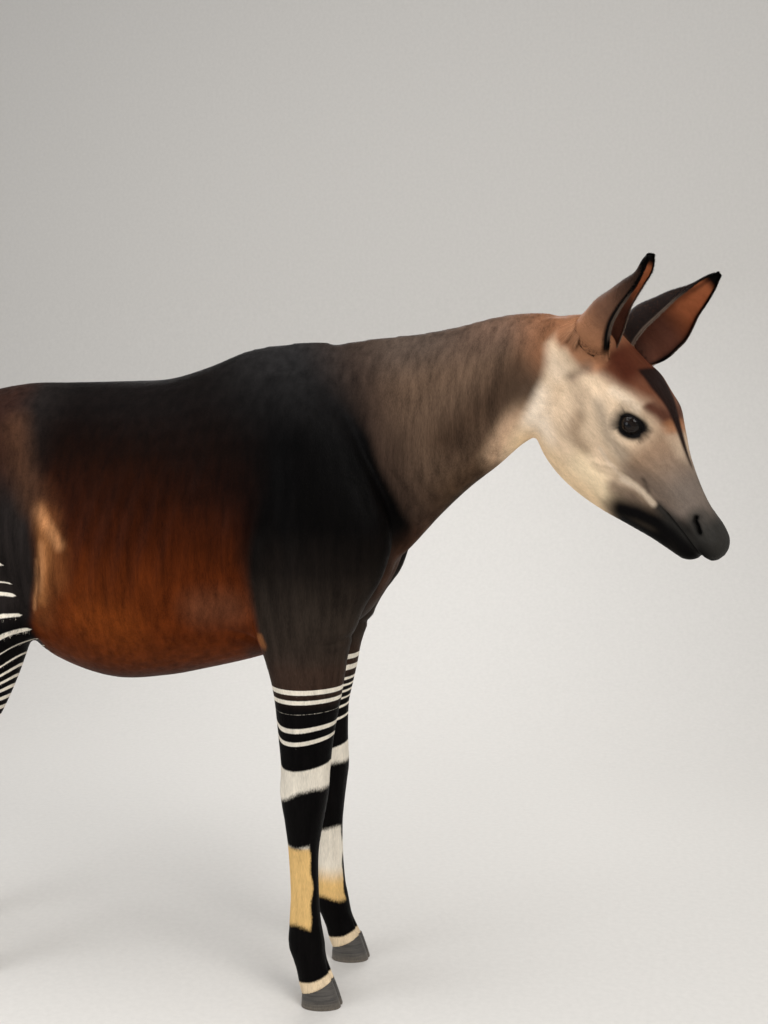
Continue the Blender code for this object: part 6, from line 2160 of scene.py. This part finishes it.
# The photograph's camera in the frame of the shapes: its place, how far it is turned towards
# the tail and tipped down, and its focal length and picture height in pixels.
CAMERA_PLACE = Vector((0.8997, -2.8787, 1.39))
CAMERA_YAW = math.radians(13.0)
CAMERA_FALL = math.radians(4.8)
CAMERA_FOCAL, CAMERA_HEIGHT = 1277, 1024
SENSOR = 24


def set_camera():
    """The photograph's view."""
    yaw, fall = CAMERA_YAW, CAMERA_FALL
    level = math.cos(fall)
    look = Vector((-math.sin(yaw) * level, math.cos(yaw) * level, -math.sin(fall)))
    data = bpy.data.cameras.new("camera")
    data.sensor_fit = "VERTICAL"
    data.sensor_height = SENSOR
    data.lens = SENSOR * CAMERA_FOCAL / CAMERA_HEIGHT
    camera = linked("camera", data)
    camera.location = CAMERA_PLACE + SHIFT
    camera.rotation_euler = look.to_track_quat("-Z", "Y").to_euler()
    bpy.context.scene.camera = camera


# Studio lights: name, place, what it looks at, diameter, power and colour.
LIGHTS = (
    ("key", (2.6, -2.6, 3.6), (0.2, 0.0, 1.1), 2.4, 125, (1.0, 0.98, 0.95)),
    ("top", (-0.6, -0.6, 4.2), (-0.2, 0.0, 1.0), 3.0, 72, (1.0, 0.99, 0.98)),
    ("fill", (-3.0, -2.6, 1.8), (-0.2, 0.0, 1.0), 2.5, 50, (0.96, 0.98, 1.0)),
    ("rim", (-0.5, 3.2, 3.0), (0.0, 0.0, 1.2), 2.5, 60, (1.0, 1.0, 1.0)),
)
SKY = (0.97, 0.98, 1.0)
SKY_STRENGTH = 0.44

# The backdrop: half its width, where the floor starts and ends, the bend's radius, and the top.
BACKDROP = (9.0, -6.0, 2.0, 2.0, 8.4)


def area_light(name, place, aim, size, power, colour):
    """A round soft light at a place, turned to its aim."""
    data = bpy.data.lights.new(name, "AREA")
    data.shape = "DISK"
    data.size = size
    data.energy = power
    data.color = colour
    light = linked(name, data)
    light.location = place
    light.rotation_euler = (Vector(aim) - Vector(place)).to_track_quat("-Z", "Y").to_euler()


def backdrop(steps=8):
    """A plain pale floor that bends up into a backdrop."""
    half, start, end, radius, top = BACKDROP
    rows = [(y, 0.0) for y in np.linspace(start, end, steps + 1)]
    for turn in np.radians(np.linspace(0, 90, steps + 1)[1:]):
        rows.append((end + radius * math.sin(turn), radius * (1 - math.cos(turn))))
    rows += [(end + radius, z) for z in np.linspace(radius, top, steps + 1)[1:]]
    points = [(x, y, z) for y, z in rows for x in (-half, half)]
    faces = [(2 * k, 2 * k + 1, 2 * k + 3, 2 * k + 2) for k in range(len(rows) - 1)]
    floor = mesh_object("floor", points, faces)
    floor.data.shade_smooth()
    n = Nodes("floor_pale")
    place = n.add("ShaderNodeTexCoord").outputs["Object"]
    grain = n.noise(place, 60.0, 4.0, 0.6)
    n.feed("Base Color", n.scaled(FLOOR, n.ranged(grain, 0.3, 0.7, 0.97, 1.03)))
    n.preset(Roughness=0.85)
    floor.data.materials.append(n.material)
    return floor


def stage():
    """The backdrop and soft light."""
    floor = backdrop()
    world = bpy.data.worlds.new("studio")
    world.use_nodes = True
    sky = world.node_tree.nodes["Background"].inputs
    sky["Color"].default_value = (*SKY, 1)
    sky["Strength"].default_value = SKY_STRENGTH
    bpy.context.scene.world = world
    bpy.context.scene.view_settings.view_transform = "Standard"
    for light in LIGHTS:
        area_light(*light)


def placed(obj):
    """Moves the piece by the centring shift and lets it ride on the body."""
    obj.data.transform(Matrix.Translation(SHIFT))
    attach(obj, "root")
    return obj


FUR = fur_material("fur_short")
FUR_LONG = fur_material("fur_long", 0.42)


def main():
    """Builds every piece, hides the parts of the model that the pieces take the place of, and
    lights the scene.
    """
    set_camera()
    rng = np.random.default_rng(SEED)
    skin, ears = skin_whole()
    skin.data.materials.append(skin_material())
    coat = body_coat(skin, rng)
    coat += ear_hair(ears, rng)
    coat.append(lashes(rng))
    brush = tail_hair(rng)
    flesh = ["head", "neck", "torso", "tail"]
    flesh += [f"ear_{side_name(s)}" for s in SIDES]
    flesh += [f"{part}_{side_name(s)}" for s in SIDES
              for part in ("fore_upper_leg", "fore_cannon", "hind_upper_leg", "hind_cannon")]
    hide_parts(*flesh)
    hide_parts("tail_tuft")
    for piece in [skin, brush, *coat]:
        placed(piece)

    wet, horn = eye_material(), horn_material()
    for side in SIDES:
        eye = eyeball(side)
        eye.data.materials.append(wet)
        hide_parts("eye_" + side_name(side))
        placed(eye)
        for end in ("fore", "hind"):
            for which in ("inner", "outer"):
                claw = hoof(side, which == "inner", end == "fore")
                claw.data.materials.append(horn)
                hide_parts(f"hoof_{end}_{side_name(side)}_{which}")
                placed(claw)
    stage()


main()
